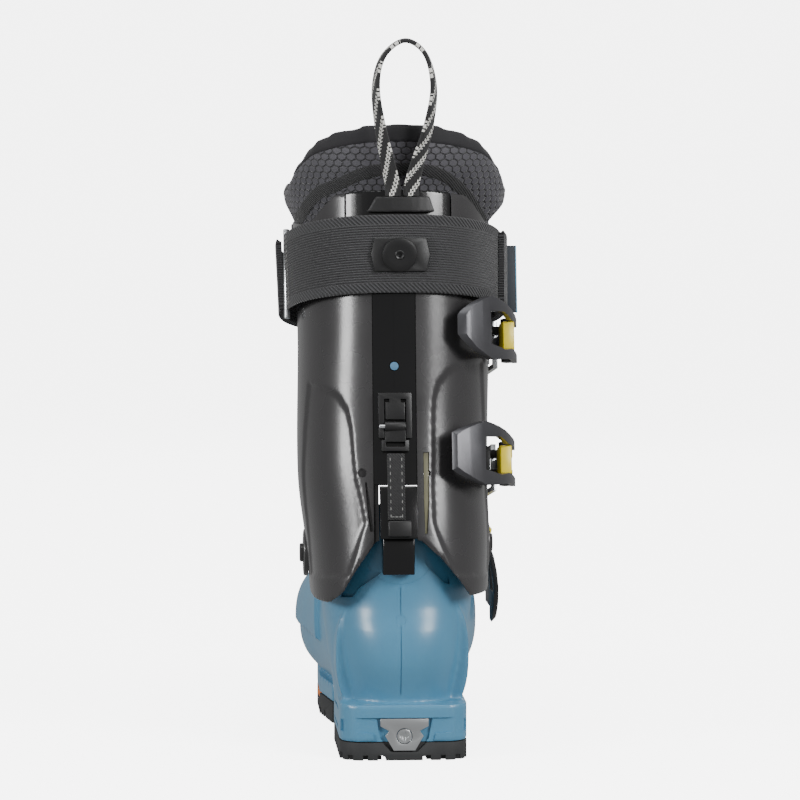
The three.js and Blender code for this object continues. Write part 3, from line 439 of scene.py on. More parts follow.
def start(name, colour, roughness, **sockets):
    made = bpy.data.materials.new(name)
    made.use_nodes = True
    tree = made.node_tree
    shader = tree.nodes["Principled BSDF"]
    shader.inputs["Base Color"].default_value = (*colour, 1)
    shader.inputs["Roughness"].default_value = roughness
    for key, value in sockets.items():
        shader.inputs[key.replace("_", " ")].default_value = value
    FINISHES[name] = made
    return tree, shader


def maths(tree, how, first, second=0.0, third=0.0):
    return add(tree, "ShaderNodeMath", {"operation": how}, {0: first, 1: second, 2: third}).outputs[0]


def mixed(tree, share, first, second):
    """Two colours mixed by a share."""
    made = add(tree, "ShaderNodeMix", {"data_type": "RGBA"}, {0: share})
    for key, value in ((6, first), (7, second)):
        if isinstance(value, bpy.types.NodeSocket):
            tree.links.new(value, made.inputs[key])
        else:
            made.inputs[key].default_value = (*value, 1)
    return made.outputs[2]


def place(tree, scale=(1, 1, 1), turn=(0, 0, 0)):
    """Object coordinates in millimetres, stretched and turned."""
    coords = add(tree, "ShaderNodeTexCoord").outputs["Object"]
    size = tuple(1000 * s for s in scale)
    settings = {"Vector": coords, "Rotation": turn, "Scale": size}
    return add(tree, "ShaderNodeMapping", None, settings).outputs[0]


def speckled(tree, shader, colour, other, mottle, grain, depth, rough, spread, scale=(1, 1, 1)):
    """Slow colour drift, a fine moulded or brushed grain in the bump, and uneven gloss."""
    where = place(tree, scale)
    slow = add(tree, "ShaderNodeTexNoise", None, {"Vector": where, "Scale": 1 / mottle, "Detail": 3.0})
    fine = add(tree, "ShaderNodeTexNoise", None, {"Vector": where, "Scale": 1 / grain, "Detail": 2.0})
    tree.links.new(mixed(tree, slow.outputs[0], colour, other), shader.inputs["Base Color"])
    gloss = maths(tree, "MULTIPLY_ADD", slow.outputs[0], spread, rough - spread / 2)
    tree.links.new(gloss, shader.inputs["Roughness"])
    bump = add(
        tree, "ShaderNodeBump", None, {"Strength": 0.6, "Distance": depth * MM, "Height": fine.outputs[0]},
    )
    tree.links.new(bump.outputs[0], shader.inputs["Normal"])


def shade(colour, factor):
    return tuple(min(1, c * factor) for c in colour)


def woven(tree, shader, dark, light, pitch, depth, uv_name="UVMap"):
    """Diagonal twill: yarns a pitch apart, read from the piece's own map in millimetres."""
    uv = add(tree, "ShaderNodeUVMap", {"uv_map": uv_name}).outputs[0]
    split = add(tree, "ShaderNodeSeparateXYZ", None, {0: uv})
    u = maths(tree, "MULTIPLY", split.outputs[0], 10)
    v = maths(tree, "MULTIPLY", split.outputs[1], 10)
    both = maths(tree, "ADD", u, v)
    across = maths(tree, "SUBTRACT", u, v)
    ridge = maths(tree, "SINE", maths(tree, "MULTIPLY", both, TURN / pitch))
    thread = maths(tree, "SINE", maths(tree, "MULTIPLY", across, TURN / pitch * 2))
    height = maths(tree, "MULTIPLY_ADD", thread, 0.25, ridge)
    # The colour follows the yarns' height: painted shade in the grooves between yarns and a painted highlight
    # on their raised tops.
    tree.links.new(
        mixed(tree, maths(tree, "MULTIPLY_ADD", height, 0.4, 0.5), dark, light), shader.inputs["Base Color"],
    )
    bump = add(tree, "ShaderNodeBump", None, {"Strength": 0.9, "Distance": depth * MM, "Height": height})
    tree.links.new(bump.outputs[0], shader.inputs["Normal"])
    return u, v, height


def make_finishes(colours):
    """Every material of the boot, each named for what the real one is made of."""
    blue, grey = tuple(colours.shell), tuple(colours.cuff)
    # Moulded polyamide: satin, a little light sinks in, and a fine spark-eroded grain.
    tree, shader = start("moulded_blue_polyamide", blue, 0.36, IOR=1.53, Subsurface_Weight=0.12)
    shader.inputs["Subsurface Radius"].default_value = (0.003, 0.004, 0.005)
    speckled(tree, shader, shade(blue, 0.95), shade(blue, 1.06), 26, 0.5, 0.02, 0.32, 0.08)
    # Moulded polyether: dark grey, smooth, with broad soft reflections.
    tree, shader = start("moulded_grey_polyether", grey, 0.25, IOR=1.5, Coat_Weight=0.3, Coat_Roughness=0.15)
    speckled(tree, shader, shade(grey, 0.93), shade(grey, 1.08), 18, 0.6, 0.014, 0.27, 0.08)
    # Glass-filled nylon: near black with a visible fine texture.
    black = linear("#0e0e0f")
    tree, shader = start("textured_black_nylon", black, 0.45, IOR=1.53)
    speckled(tree, shader, shade(black, 0.85), shade(black, 1.25), 9, 0.35, 0.05, 0.46, 0.1)
    # Polished nylon: the same black with a clear gloss.
    gloss = linear("#060607")
    tree, shader = start("polished_black_nylon", gloss, 0.16, IOR=1.53)
    speckled(tree, shader, gloss, shade(gloss, 1.3), 20, 0.8, 0.01, 0.18, 0.06)
    # Vulcanised rubber: dull charcoal, rubbed paler in patches.
    rubber = linear("#262728")
    tree, shader = start("vulcanised_black_rubber", rubber, 0.75, IOR=1.52)
    speckled(tree, shader, shade(rubber, 0.8), shade(rubber, 1.5), 7, 0.6, 0.12, 0.74, 0.12)
    # Thermoplastic rubber insert in a warm orange.
    orange = tuple(colours.accent)
    tree, shader = start("orange_thermoplastic_rubber", orange, 0.55)
    speckled(tree, shader, shade(orange, 0.9), shade(orange, 1.1), 8, 0.5, 0.05, 0.55, 0.1)
    # Stamped stainless steel: long brushing lines along X.
    steel = linear("#d4d7d9")
    tree, shader = start("brushed_stainless_steel", steel, 0.3, Metallic=1.0)
    speckled(tree, shader, shade(steel, 0.85), steel, 6, 0.3, 0.02, 0.3, 0.14, (0.12, 1, 1))
    # Forged aluminium with a dark anodised skin: satin and slightly metallic.
    dark = linear("#47474a")
    tree, shader = start("anodised_dark_aluminium", dark, 0.36, Metallic=0.55)
    speckled(tree, shader, shade(dark, 0.85), shade(dark, 1.15), 10, 0.4, 0.02, 0.36, 0.1)
    # Acetal: clean yellow, waxy gloss.
    yellow = tuple(colours.adjuster)
    tree, shader = start("yellow_acetal", yellow, 0.34, IOR=1.48, Subsurface_Weight=0.1)
    shader.inputs["Subsurface Radius"].default_value = (0.002, 0.0015, 0.0005)
    speckled(tree, shader, shade(yellow, 0.9), shade(yellow, 1.08), 5, 0.5, 0.02, 0.34, 0.08)
    plug = linear("#4f7896")
    tree, shader = start("moulded_blue_plug", plug, 0.4)
    speckled(tree, shader, shade(plug, 0.9), shade(plug, 1.1), 3, 0.4, 0.02, 0.4, 0.1)
    # Translucent polyether strip: an olive tint where the wall is thin.
    olive = linear("#6f6c50")
    tree, shader = start("thin_olive_polyether", olive, 0.22, Transmission_Weight=0.15)
    speckled(tree, shader, shade(olive, 0.7), shade(olive, 1.3), 12, 0.5, 0.01, 0.22, 0.08)
    # Bonded neoprene: very matt with a soft sheen at glancing angles.
    neoprene = linear("#141317")
    tree, shader = start("bonded_neoprene", neoprene, 0.8, Sheen_Weight=0.25, Sheen_Roughness=0.4)
    speckled(tree, shader, shade(neoprene, 0.85), shade(neoprene, 1.2), 12, 0.45, 0.08, 0.8, 0.1)
    # Brushed lining fabric inside the liner.
    fleece = linear("#2a2a2e")
    tree, shader = start("brushed_liner_fleece", fleece, 0.95, Sheen_Weight=0.4, Sheen_Roughness=0.5)
    speckled(tree, shader, shade(fleece, 0.7), shade(fleece, 1.3), 4, 0.7, 0.3, 0.93, 0.08)
    make_hexagons()
    # Twill webbing: yarns 0.9 mm apart, drawn a little coarser than the real half millimetre.
    band = linear("#1d1d1e")
    tree, shader = start("black_twill_webbing", band, 0.82, Sheen_Weight=0.15)
    # Darker and lighter copies of the one band colour: painted shade in the weave's grooves and a painted
    # highlight on its yarns.
    woven(tree, shader, shade(band, 0.45), shade(band, 1.7), 1.5, 0.25)
    make_strap_cloth()
    make_flecked_tape()
    navy = linear("#16202a")
    tree, shader = start("navy_hook_tape", navy, 0.6, Sheen_Weight=0.2)
    speckled(tree, shader, shade(navy, 0.8), shade(navy, 1.25), 3, 0.4, 0.1, 0.6, 0.1)
    edge = linear("#6ea6c4")
    tree, shader = start("pale_blue_edging", edge, 0.6)
    speckled(tree, shader, shade(edge, 0.85), shade(edge, 1.1), 2, 0.4, 0.08, 0.6, 0.1)
    thread = linear("#8c8c8a")
    tree, shader = start("bonded_polyester_thread", thread, 0.6, Sheen_Weight=0.2)
    speckled(tree, shader, shade(thread, 0.7), thread, 1.5, 0.3, 0.05, 0.6, 0.1)


def make_hexagons():
    """Embossed collar fabric: raised hexagons in 3.9 mm rows on a darker mesh ground."""
    ground, top = linear("#111014"), linear("#434248")
    tree, shader = start("embossed_hexagon_fabric", top, 0.6, Sheen_Weight=0.2)
    pitch = 3.9
    cell = (pitch, pitch * math.sqrt(3), 1)
    coords = add(tree, "ShaderNodeAttribute", {"attribute_name": "cloth_mm"}).outputs["Vector"]

    def nearest(shift):
        moved = add(tree, "ShaderNodeVectorMath", {"operation": "ADD"}, {0: coords, 1: shift}).outputs[0]
        scaled = add(tree, "ShaderNodeVectorMath", {"operation": "DIVIDE"}, {0: moved, 1: cell}).outputs[0]
        inside = add(tree, "ShaderNodeVectorMath", {"operation": "FRACTION"}, {0: scaled}).outputs[0]
        centred = add(
            tree, "ShaderNodeVectorMath", {"operation": "SUBTRACT"}, {0: inside, 1: (0.5, 0.5, 0)},
        ).outputs[0]
        real = add(tree, "ShaderNodeVectorMath", {"operation": "MULTIPLY"}, {0: centred, 1: cell}).outputs[0]
        flat = add(tree, "ShaderNodeVectorMath", {"operation": "ABSOLUTE"}, {0: real}).outputs[0]
        split = add(tree, "ShaderNodeSeparateXYZ", None, {0: flat})
        slanted = maths(
            tree, "MULTIPLY_ADD", split.outputs[0], 0.5, maths(tree, "MULTIPLY", split.outputs[1], 0.866),
        )
        return maths(tree, "MAXIMUM", split.outputs[0], slanted)

    reach = maths(tree, "MINIMUM", nearest((0, 0, 0)), nearest((pitch / 2, pitch * math.sqrt(3) / 2, 0)))
    pad = add(
        tree, "ShaderNodeMapRange", {"interpolation_type": "SMOOTHSTEP"},
        {0: reach, 1: pitch * 0.5, 2: pitch * 0.36, 3: 0.0, 4: 1.0},
    ).outputs[0]
    weave = add(tree, "ShaderNodeTexNoise", None, {"Vector": coords, "Scale": 1.6, "Detail": 2.0}).outputs[0]
    tone = maths(tree, "MULTIPLY", pad, maths(tree, "MULTIPLY_ADD", weave, 0.7, 0.55))
    tree.links.new(mixed(tree, tone, ground, top), shader.inputs["Base Color"])
    height = maths(tree, "MULTIPLY_ADD", weave, 0.25, pad)
    bump = add(tree, "ShaderNodeBump", None, {"Strength": 0.9, "Distance": 0.7 * MM, "Height": height})
    tree.links.new(bump.outputs[0], shader.inputs["Normal"])


def make_strap_cloth():
    """Strap: a finely woven middle between borders of bold diagonal twill."""
    dark, light = linear("#101011"), linear("#3a3a3d")
    tree, shader = start("ribbed_polyester_strap", dark, 0.7, Sheen_Weight=0.2)
    uv = add(tree, "ShaderNodeUVMap", {"uv_map": "UVMap"}).outputs[0]
    split = add(tree, "ShaderNodeSeparateXYZ", None, {0: uv})
    u = maths(tree, "MULTIPLY", split.outputs[0], 10)
    v = maths(tree, "MULTIPLY", split.outputs[1], 10)
    from_middle = maths(tree, "ABSOLUTE", v)
    border = maths(tree, "GREATER_THAN", from_middle, STRAP_WIDTH / 2 - 5.2)
    bold = maths(tree, "SINE", maths(tree, "MULTIPLY", maths(tree, "ADD", u, v), TURN / 2.3))
    rows = maths(tree, "SINE", maths(tree, "MULTIPLY", v, TURN / 1.35))
    small = maths(tree, "SINE", maths(tree, "MULTIPLY", maths(tree, "SUBTRACT", u, v), TURN / 0.9))
    middle = maths(tree, "MULTIPLY_ADD", small, 0.45, maths(tree, "MULTIPLY", rows, 0.55))
    height = maths(
        tree, "ADD", maths(tree, "MULTIPLY", bold, border),
        maths(tree, "MULTIPLY", middle, maths(tree, "SUBTRACT", 1.0, border)),
    )
    # The colour follows the weave's height: painted shade in its grooves and a painted highlight on its raised
    # yarns.
    tree.links.new(
        mixed(tree, maths(tree, "MULTIPLY_ADD", height, 0.4, 0.45), shade(dark, 0.6), light),
        shader.inputs["Base Color"],
    )
    bump = add(tree, "ShaderNodeBump", None, {"Strength": 0.9, "Distance": 0.3 * MM, "Height": height})
    tree.links.new(bump.outputs[0], shader.inputs["Normal"])


def make_flecked_tape():
    """Loop tape: black yarns with patches of white dashes that step sideways from yarn to yarn."""
    dark, white = linear("#161617"), linear("#d9d8d2")
    tree, shader = start("flecked_woven_tape", dark, 0.8, Sheen_Weight=0.2)
    uv = add(tree, "ShaderNodeUVMap", {"uv_map": "UVMap"}).outputs[0]
    split = add(tree, "ShaderNodeSeparateXYZ", None, {0: uv})
    u = maths(tree, "MULTIPLY", split.outputs[0], 10)
    v = maths(tree, "MULTIPLY", split.outputs[1], 10)
    yarn = maths(tree, "FLOOR", maths(tree, "DIVIDE", v, 0.95))
    shifted = maths(tree, "MULTIPLY_ADD", yarn, 1.9, u)
    patch = maths(tree, "LESS_THAN", maths(tree, "FRACT", maths(tree, "DIVIDE", shifted, 15.0)), 0.42)
    dash = maths(tree, "LESS_THAN", maths(tree, "FRACT", maths(tree, "DIVIDE", shifted, 3.1)), 0.72)
    within = maths(tree, "FRACT", maths(tree, "DIVIDE", v, 0.95))
    off_middle = maths(tree, "ABSOLUTE", maths(tree, "MULTIPLY_ADD", within, 2.0, -1.0))
    edge = maths(tree, "SUBTRACT", 1.0, off_middle)
    white_here = maths(tree, "MULTIPLY", patch, dash)
    show = maths(tree, "MULTIPLY", white_here, maths(tree, "GREATER_THAN", edge, 0.2))
    tree.links.new(mixed(tree, show, dark, white), shader.inputs["Base Color"])
    bump = add(tree, "ShaderNodeBump", None, {"Strength": 0.8, "Distance": 0.25 * MM, "Height": edge})
    tree.links.new(bump.outputs[0], shader.inputs["Normal"])


# ---------- Settings ----------
class BootColours(bpy.types.PropertyGroup):
    shell: bpy.props.FloatVectorProperty(
        name="Lower shell", description="Colour of the lower shell", subtype="COLOR", min=0, max=1,
        default=linear("#4e86a6"),
    )
    cuff: bpy.props.FloatVectorProperty(
        name="Cuff", description="Colour of the cuff and its pivots", subtype="COLOR", min=0, max=1,
        default=linear("#302f30"),
    )
    accent: bpy.props.FloatVectorProperty(
        name="Sole accent", description="Colour of the toe sole's insert", subtype="COLOR", min=0, max=1,
        default=linear("#d9772f"),
    )
    adjuster: bpy.props.FloatVectorProperty(
        name="Adjusters", description="Colour of the buckles' screw adjusters", subtype="COLOR",
        min=0, max=1, default=linear("#f0d92c"),
    )


class BootSizes(bpy.types.PropertyGroup):
    edge: bpy.props.FloatProperty(
        name="Edge radius", description="Rounding on small moulded parts, in millimetres",
        default=0.55, min=0.1, max=1.2,
    )
    voxel: bpy.props.FloatProperty(
        name="Shell remesh", description="Cell size of the moulded shells, in millimetres",
        default=1.15, min=0.8, max=3,
    )
    stitch: bpy.props.FloatProperty(
        name="Stitch length", description="Length of one sewn stitch, in millimetres",
        default=2.4, min=1, max=5,
    )
    pressure: bpy.props.FloatProperty(
        name="Padding pressure", description="Pressure inside the padded pieces as they swell",
        default=4, min=0, max=10,
    )


# ---------- Stage ----------
CAMERA_AWAY = 2.3
CAMERA_HEIGHT = 0.36
CAMERA_SIDE = math.radians(-3.5)
CAMERA_DIP = math.radians(4.18)


class BOOT_OT_stage(bpy.types.Operator):
    """Camera behind the boot, pale sweep and soft studio lights"""

    bl_idname = "boot.stage"
    bl_label = "Stage"

    def execute(self, context):
        scene = context.scene
        lens = bpy.data.cameras.new("studio_camera")
        lens.sensor_width = 36
        lens.lens = 190.4
        camera = bpy.data.objects.new("studio_camera", lens)
        camera.location = (
            CAMERA_AWAY * math.sin(CAMERA_SIDE), -CAMERA_AWAY * math.cos(CAMERA_SIDE), CAMERA_HEIGHT,
        )
        camera.rotation_euler = (math.pi / 2 - CAMERA_DIP, 0, CAMERA_SIDE)
        scene.collection.objects.link(camera)
        scene.camera = camera

        # Floor and backdrop: one curved sheet.
        bm = bmesh.new()
        profile = [(-60, 0)] + [
            (4 + 1.5 * math.sin(a * math.pi / 24), 1.5 - 1.5 * math.cos(a * math.pi / 24)) for a in range(13)
        ] + [(5.5, 5)]
        verts = [bm.verts.new((-60, y, z)) for y, z in profile]
        edges = [bm.edges.new(pair) for pair in zip(verts, verts[1:])]
        out = bmesh.ops.extrude_edge_only(bm, edges=edges)
        bmesh.ops.translate(
            bm, vec=(120, 0, 0), verts=[v for v in out["geom"] if isinstance(v, bmesh.types.BMVert)],
        )
        bmesh.ops.recalc_face_normals(bm, faces=bm.faces)
        mesh = bpy.data.meshes.new("studio_sweep")
        bm.to_mesh(mesh)
        bm.free()
        mesh.shade_smooth()
        # Painted sweep, lit from within so that it reads as an even pale ground round the boot.
        tree, shader = start("painted_studio_sweep", linear("#f4f4f4"), 0.9)
        shader.inputs["Emission Color"].default_value = (1, 1, 1, 1)
        shader.inputs["Emission Strength"].default_value = 5.2
        speckled(tree, shader, linear("#f2f2f2"), linear("#f5f5f5"), 400, 4, 0.02, 0.9, 0.05)
        mesh.materials.append(FINISHES["painted_studio_sweep"])
        sweep = bpy.data.objects.new("studio_sweep", mesh)
        scene.collection.objects.link(sweep)
        sweep.visible_diffuse = False
        sweep.visible_glossy = False

        world = bpy.data.worlds.new("studio_air")
        world.use_nodes = True
        world.node_tree.nodes["Background"].inputs[0].default_value = (1, 1, 1, 1)
        world.node_tree.nodes["Background"].inputs[1].default_value = 0.4
        scene.world = world
        for name, spot, size, power in (
            ("key_softbox", (1.5, -1.5, 1.1), 0.8, 46),
            ("strip_softbox", (-1.6, -0.9, 0.7), 0.5, 24),
            ("top_softbox", (0, -0.3, 1.9), 1.2, 16),
            ("front_softbox", (0.3, 1.8, 1.0), 1.0, 8),
        ):
            lamp = bpy.data.lights.new(name, "AREA")
            lamp.size = size
            lamp.energy = power
            light = bpy.data.objects.new(name, lamp)
            light.location = spot
            light.rotation_euler = (Vector((0, 0, 0.18)) - Vector(spot)).to_track_quat("-Z", "Y").to_euler()
            scene.collection.objects.link(light)
        return {"FINISHED"}


class BOOT_OT_finishes(bpy.types.Operator):
    """Every material of the boot"""

    bl_idname = "boot.finishes"
    bl_label = "Finishes"

    def execute(self, context):
        make_finishes(context.scene.boot_colours)
        return {"FINISHED"}


# ---------- Pull loop ----------
LOOP_POINTS = [
    (-4.8, -15, 303.4), (-5, -15, 309), (-7.4, -15.4, 321), (-11.5, -15.8, 340), (-14, -16, 362),
    (-10, -16, 378.5), (1.5, -16, 387), (12.5, -16, 380), (17.2, -16, 362), (14.2, -15.8, 340),
    (8.4, -15.4, 321), (5.4, -15, 309), (5.2, -15, 303.4),
]
LOOP_WIDTH = 8.4
LOOP_THICK = 2.6
TAB_OUTLINE = [
    (-19, RIM_HEIGHT - 12.1), (-14, RIM_HEIGHT - 3.7), (15, RIM_HEIGHT - 3.7), (18, RIM_HEIGHT - 12.1),
]


def smooth_route(points, steps):
    """Places on a rounded curve through the points."""
    places = []
    padded = [points[0]] + points + [points[-1]]
    for i in range(1, len(padded) - 2):
        a, b, c, d = (Vector(p) for p in padded[i - 1 : i + 3])
        for step in range(steps):
            t = step / steps
            places.append(
                0.5 * (
                    2 * b + (c - a) * t + (2 * a - 5 * b + 4 * c - d) * t * t
                    + (3 * b - a - 3 * c + d) * t**3
                )
            )
    return places + [Vector(points[-1])]


class BOOT_OT_pull_loop(bpy.types.Operator):
    """Flecked tape loop and the rubber tab that holds it"""

    bl_idname = "boot.pull_loop"
    bl_label = "Pull loop"

    def execute(self, context):
        route = smooth_route(LOOP_POINTS, 8)
        count = len(route)
        bm = bmesh.new()
        uv = bm.loops.layers.uv.new("UVMap")
        outline = [
            (LOOP_WIDTH / 2 * squared(math.cos(a), 5), LOOP_THICK / 2 * squared(math.sin(a), 3))
            for a in (TURN * (i + 0.5) / 20 for i in range(20))
        ]
        travelled = 0
        ring = None
        for i, centre in enumerate(route):
            ahead = (route[min(i + 1, count - 1)] - route[max(i - 1, 0)]).normalized()
            share = i / (count - 1)
            # Flat to the back at both ends, turned edge-on over the top.
            twist = math.pi / 2 * math.sin(math.pi * share) ** 1.5
            flat = Vector((0, -1, 0)).cross(ahead).normalized()
            wide = flat * math.cos(twist) + Vector((0, 1, 0)) * math.sin(twist)
            deep = ahead.cross(wide).normalized()
            travelled += (centre - route[i - 1]).length if i else 0
            fresh = [bm.verts.new(centre + wide * a + deep * b) for a, b in outline]
            if ring:
                for k in range(20):
                    n = (k + 1) % 20
                    face = bm.faces.new((ring[k], ring[n], fresh[n], fresh[k]))
                    for loop in face.loops:
                        first = loop.vert in (ring[k], ring[n])
                        which = k if loop.vert in (ring[k], fresh[k]) else n
                        along = before if first else travelled
                        loop[uv].uv = (along / 10, (outline[which][0] + LOOP_WIDTH) / 10)
            else:
                bm.faces.new(list(reversed(fresh)))
            ring, before = fresh, travelled
        bm.faces.new(ring)
        bmesh.ops.recalc_face_normals(bm, faces=bm.faces)
        tape = publish(
            "pull_loop_tape", bm, "cuff", "flecked_woven_tape", "webbing", ["pull_loop"], sharp=60,
        )
        skin = combined(lofted(lambda a, s: cuff_point(a, 150 + 44 * s, 3.4), 96, 6), [
            lofted(lambda a, s: cuff_point(a, 144 + 56 * s, 0.3), 96, 6),
        ])
        skin = combined(skin, [prism(TAB_OUTLINE, "y", -FAR, 0)], "INTERSECT")
        publish(
            "loop_tab_part", moulded(skin, 0.6, 3, 0.5), "cuff", "textured_black_nylon", SLOT_OF["loop_tab"],
            ["loop_tab"],
        )
        return {"FINISHED"}


# ---------- Lower shell ----------
HEEL_WIDTH = 69
HEEL_CORNER = 13
HEEL_RUBBER = 9.7
HEEL_LEDGE = 30
TOE_SOLE_BACK = 98
TOE_RUBBER = 11.7
TOE_LEDGE = 22
SCREW_ROOM = 4.6


def forefoot(grow, low=-20, sides=88, rings=64):
    tip = TOE_BOX_TIP + grow

    def spot(angle, share):
        y = low - grow + math.sin(share * math.pi / 2) * (tip - low + grow)
        return forefoot_point(-angle, y, grow)

    return lofted(spot, sides, rings)


def ankle(grow, low=4, high=190):
    return lofted(lambda angle, share: ankle_point(angle, low + share * (high - low), grow), 88, 48)


def rounded(width, back, front, corner):
    """Half-square footprint of a sole end, rounded at its back corners."""
    half = width / 2
    turns = [a * math.pi / 16 for a in range(9)]
    curve = [
        (half - corner + corner * math.sin(a), back + corner - corner * math.cos(a)) for a in turns
    ]
    return [(half, front), (-half, front)] + [(-x, y) for x, y in reversed(curve)] + curve


def toe_footprint(inset, back, tip):
    inner, outer, half = BALL_INNER * 0.79 - inset, BALL_OUTER * 0.76 - inset, 34.5 - inset
    nose = [
        (half * math.cos(a * math.pi / 20), tip - 40 + 40 * math.sin(a * math.pi / 20) ** 0.75)
        for a in range(1, 20)
    ]
    return [
        (-inner * 0.86, back), (outer * 0.88, back), (outer * 1.0, back + 36), (outer, back + 70),
        (half, tip - 42),
    ] + nose + [(-half, tip - 42), (-inner, back + 82), (-inner * 1.01, back + 40)]


class BOOT_OT_lower_shell(bpy.types.Operator):
    """Blue lower shell with its overlap flap, ledges and moulded recesses"""

    bl_idname = "boot.lower_shell"
    bl_label = "Lower shell"

    def execute(self, context):
        voxel = context.scene.boot_sizes.voxel * 1
        outer = combined(forefoot(0), [ankle(0)], "UNION")
        outer = combined(outer, [block((FAR, FAR, 100), (0, 0, 18 - 50))])
        outer = combined(outer, [
            prism(rounded(HEEL_WIDTH, HEEL_BACK, 38, HEEL_CORNER), "z", 10, HEEL_LEDGE),
            prism(toe_footprint(0, TOE_SOLE_BACK, TOE_TIP), "z", 12, TOE_LEDGE),
        ], "UNION")
        # Raised overlap flap over the instep, towards the outer buckles.
        flap = combined(forefoot(FLAP_STEP), [forefoot(-1)])
        flap = combined(flap, [prism([
            (-FAR, THROAT_TOP - 70), (-6, THROAT_TOP - 70), (14, THROAT_TOP - 12), (14, FAR), (-FAR, FAR),
        ], "y", 92, TOE_BOX_TIP - 52)], "INTERSECT")
        outer = combined(outer, [flap], "UNION")
        room = combined(forefoot(-SHELL_WALL, -24), [ankle(-SHELL_WALL)], "UNION")
        room = combined(room, [block((FAR, FAR, 200), (0, 0, CAVITY_FLOOR - 100))])
        shell = combined(outer, [room, prism([
            (-FAR, SHELL_BACK_TOP), (-60, SHELL_BACK_TOP), (PIVOT_Y - 20, SHELL_BACK_TOP - 5),
            (96, THROAT_TOP), (FAR, THROAT_TOP), (FAR, FAR), (-FAR, FAR),
        ], "x", -FAR, FAR)])
        shell = moulded(shell, voxel, 4, 0.5)

        # Moulded recesses behind: two pockets under the cuff, an arc under the latch and a seam.
        def skin_cut(points, depth):
            tool = combined(ankle(6), [ankle(-depth)])
            return combined(tool, [prism(points, "y", -FAR, -4)], "INTERSECT")

        cuts = [
            skin_cut([(-33, 86), (-31.5, 98.5), (-24, 103), (-12, 101), (-24, 92), (-27, 87)], 1.6),
            skin_cut([(10.5, 112), (15, 111), (25, 97), (25.5, 93.5), (22.5, 94.5), (12, 105)], 1.6),
            skin_cut([(-2.1, 35), (-2.1, 93), (-1.4, 93), (-1.4, 35)], 0.35),
        ]
        swing = [i / 10 * 0.9 for i in range(-10, 11)]
        arc = [(-2 + 22 * math.sin(a), 121 - 27 * math.cos(a)) for a in swing]
        inner_arc = [(x * 0.98, z + 0.8) for x, z in reversed(arc)]
        cuts.append(skin_cut(arc + inner_arc, 0.35))
        # Round mark on the seam.
        ring = [a / 24 * TURN for a in range(24)]
        cuts.append(skin_cut([(-1.7 + 2.9 * math.cos(a), 75.4 + 2.9 * math.sin(a)) for a in ring], 0.3))
        shell = combined(shell, cuts)
        # Band round the heel plate, its pocket, and a notch in each side of the heel.
        back = HEEL_BACK
        plate = [(-26.6, 23.2), (-26.6, 15.4), (-17, 14.4), (-15.5, 8), (15.5, 8), (17, 14.4), (26.6, 15.4),
                 (26.6, 23.2)]
        shell = combined(shell, [
            prism(plate, "y", back - 4, back + 1.1),
            prism([
                (-15, 22.8), (-13.2, 12), (-7, 4), (7, 4), (13.2, 12), (15, 22.8),
            ], "y", back - 4, back + 2.4),
            block((6, 4, 6.5), (-35.5, back + 8, 18.5)), block((6, 4, 6.5), (35.5, back + 8, 18.5)),
            block((HEEL_WIDTH * 2, 9.4, 7.4), (0, TOE_TIP - 13, 17.6)),
        ])
        # Two shallow grooves along the heel block.
        for side in (-1, 1):
            shell = combined(shell, [block((1.6, 44, 1.3), (side * 34.6, 8, 24.5)),
                                     block((1.6, 44, 1.3), (side * 34.6, 8, 14.5))])
        publish(
            "lower_shell_moulding", shell, "shell", "moulded_blue_polyamide", "shell_blue", ["lower_shell"],
            sharp=32,
        )
        return {"FINISHED"}


def cross_recess(centre, axis, size):
    """A cross-shaped driver recess."""
    long = {"y": (size, 3, size * 0.3), "z": (size, size * 0.3, 3)}[axis]
    other = {"y": (size * 0.3, 3, size), "z": (size * 0.3, size, 3)}[axis]
    return [block(long, centre), block(other, centre)]


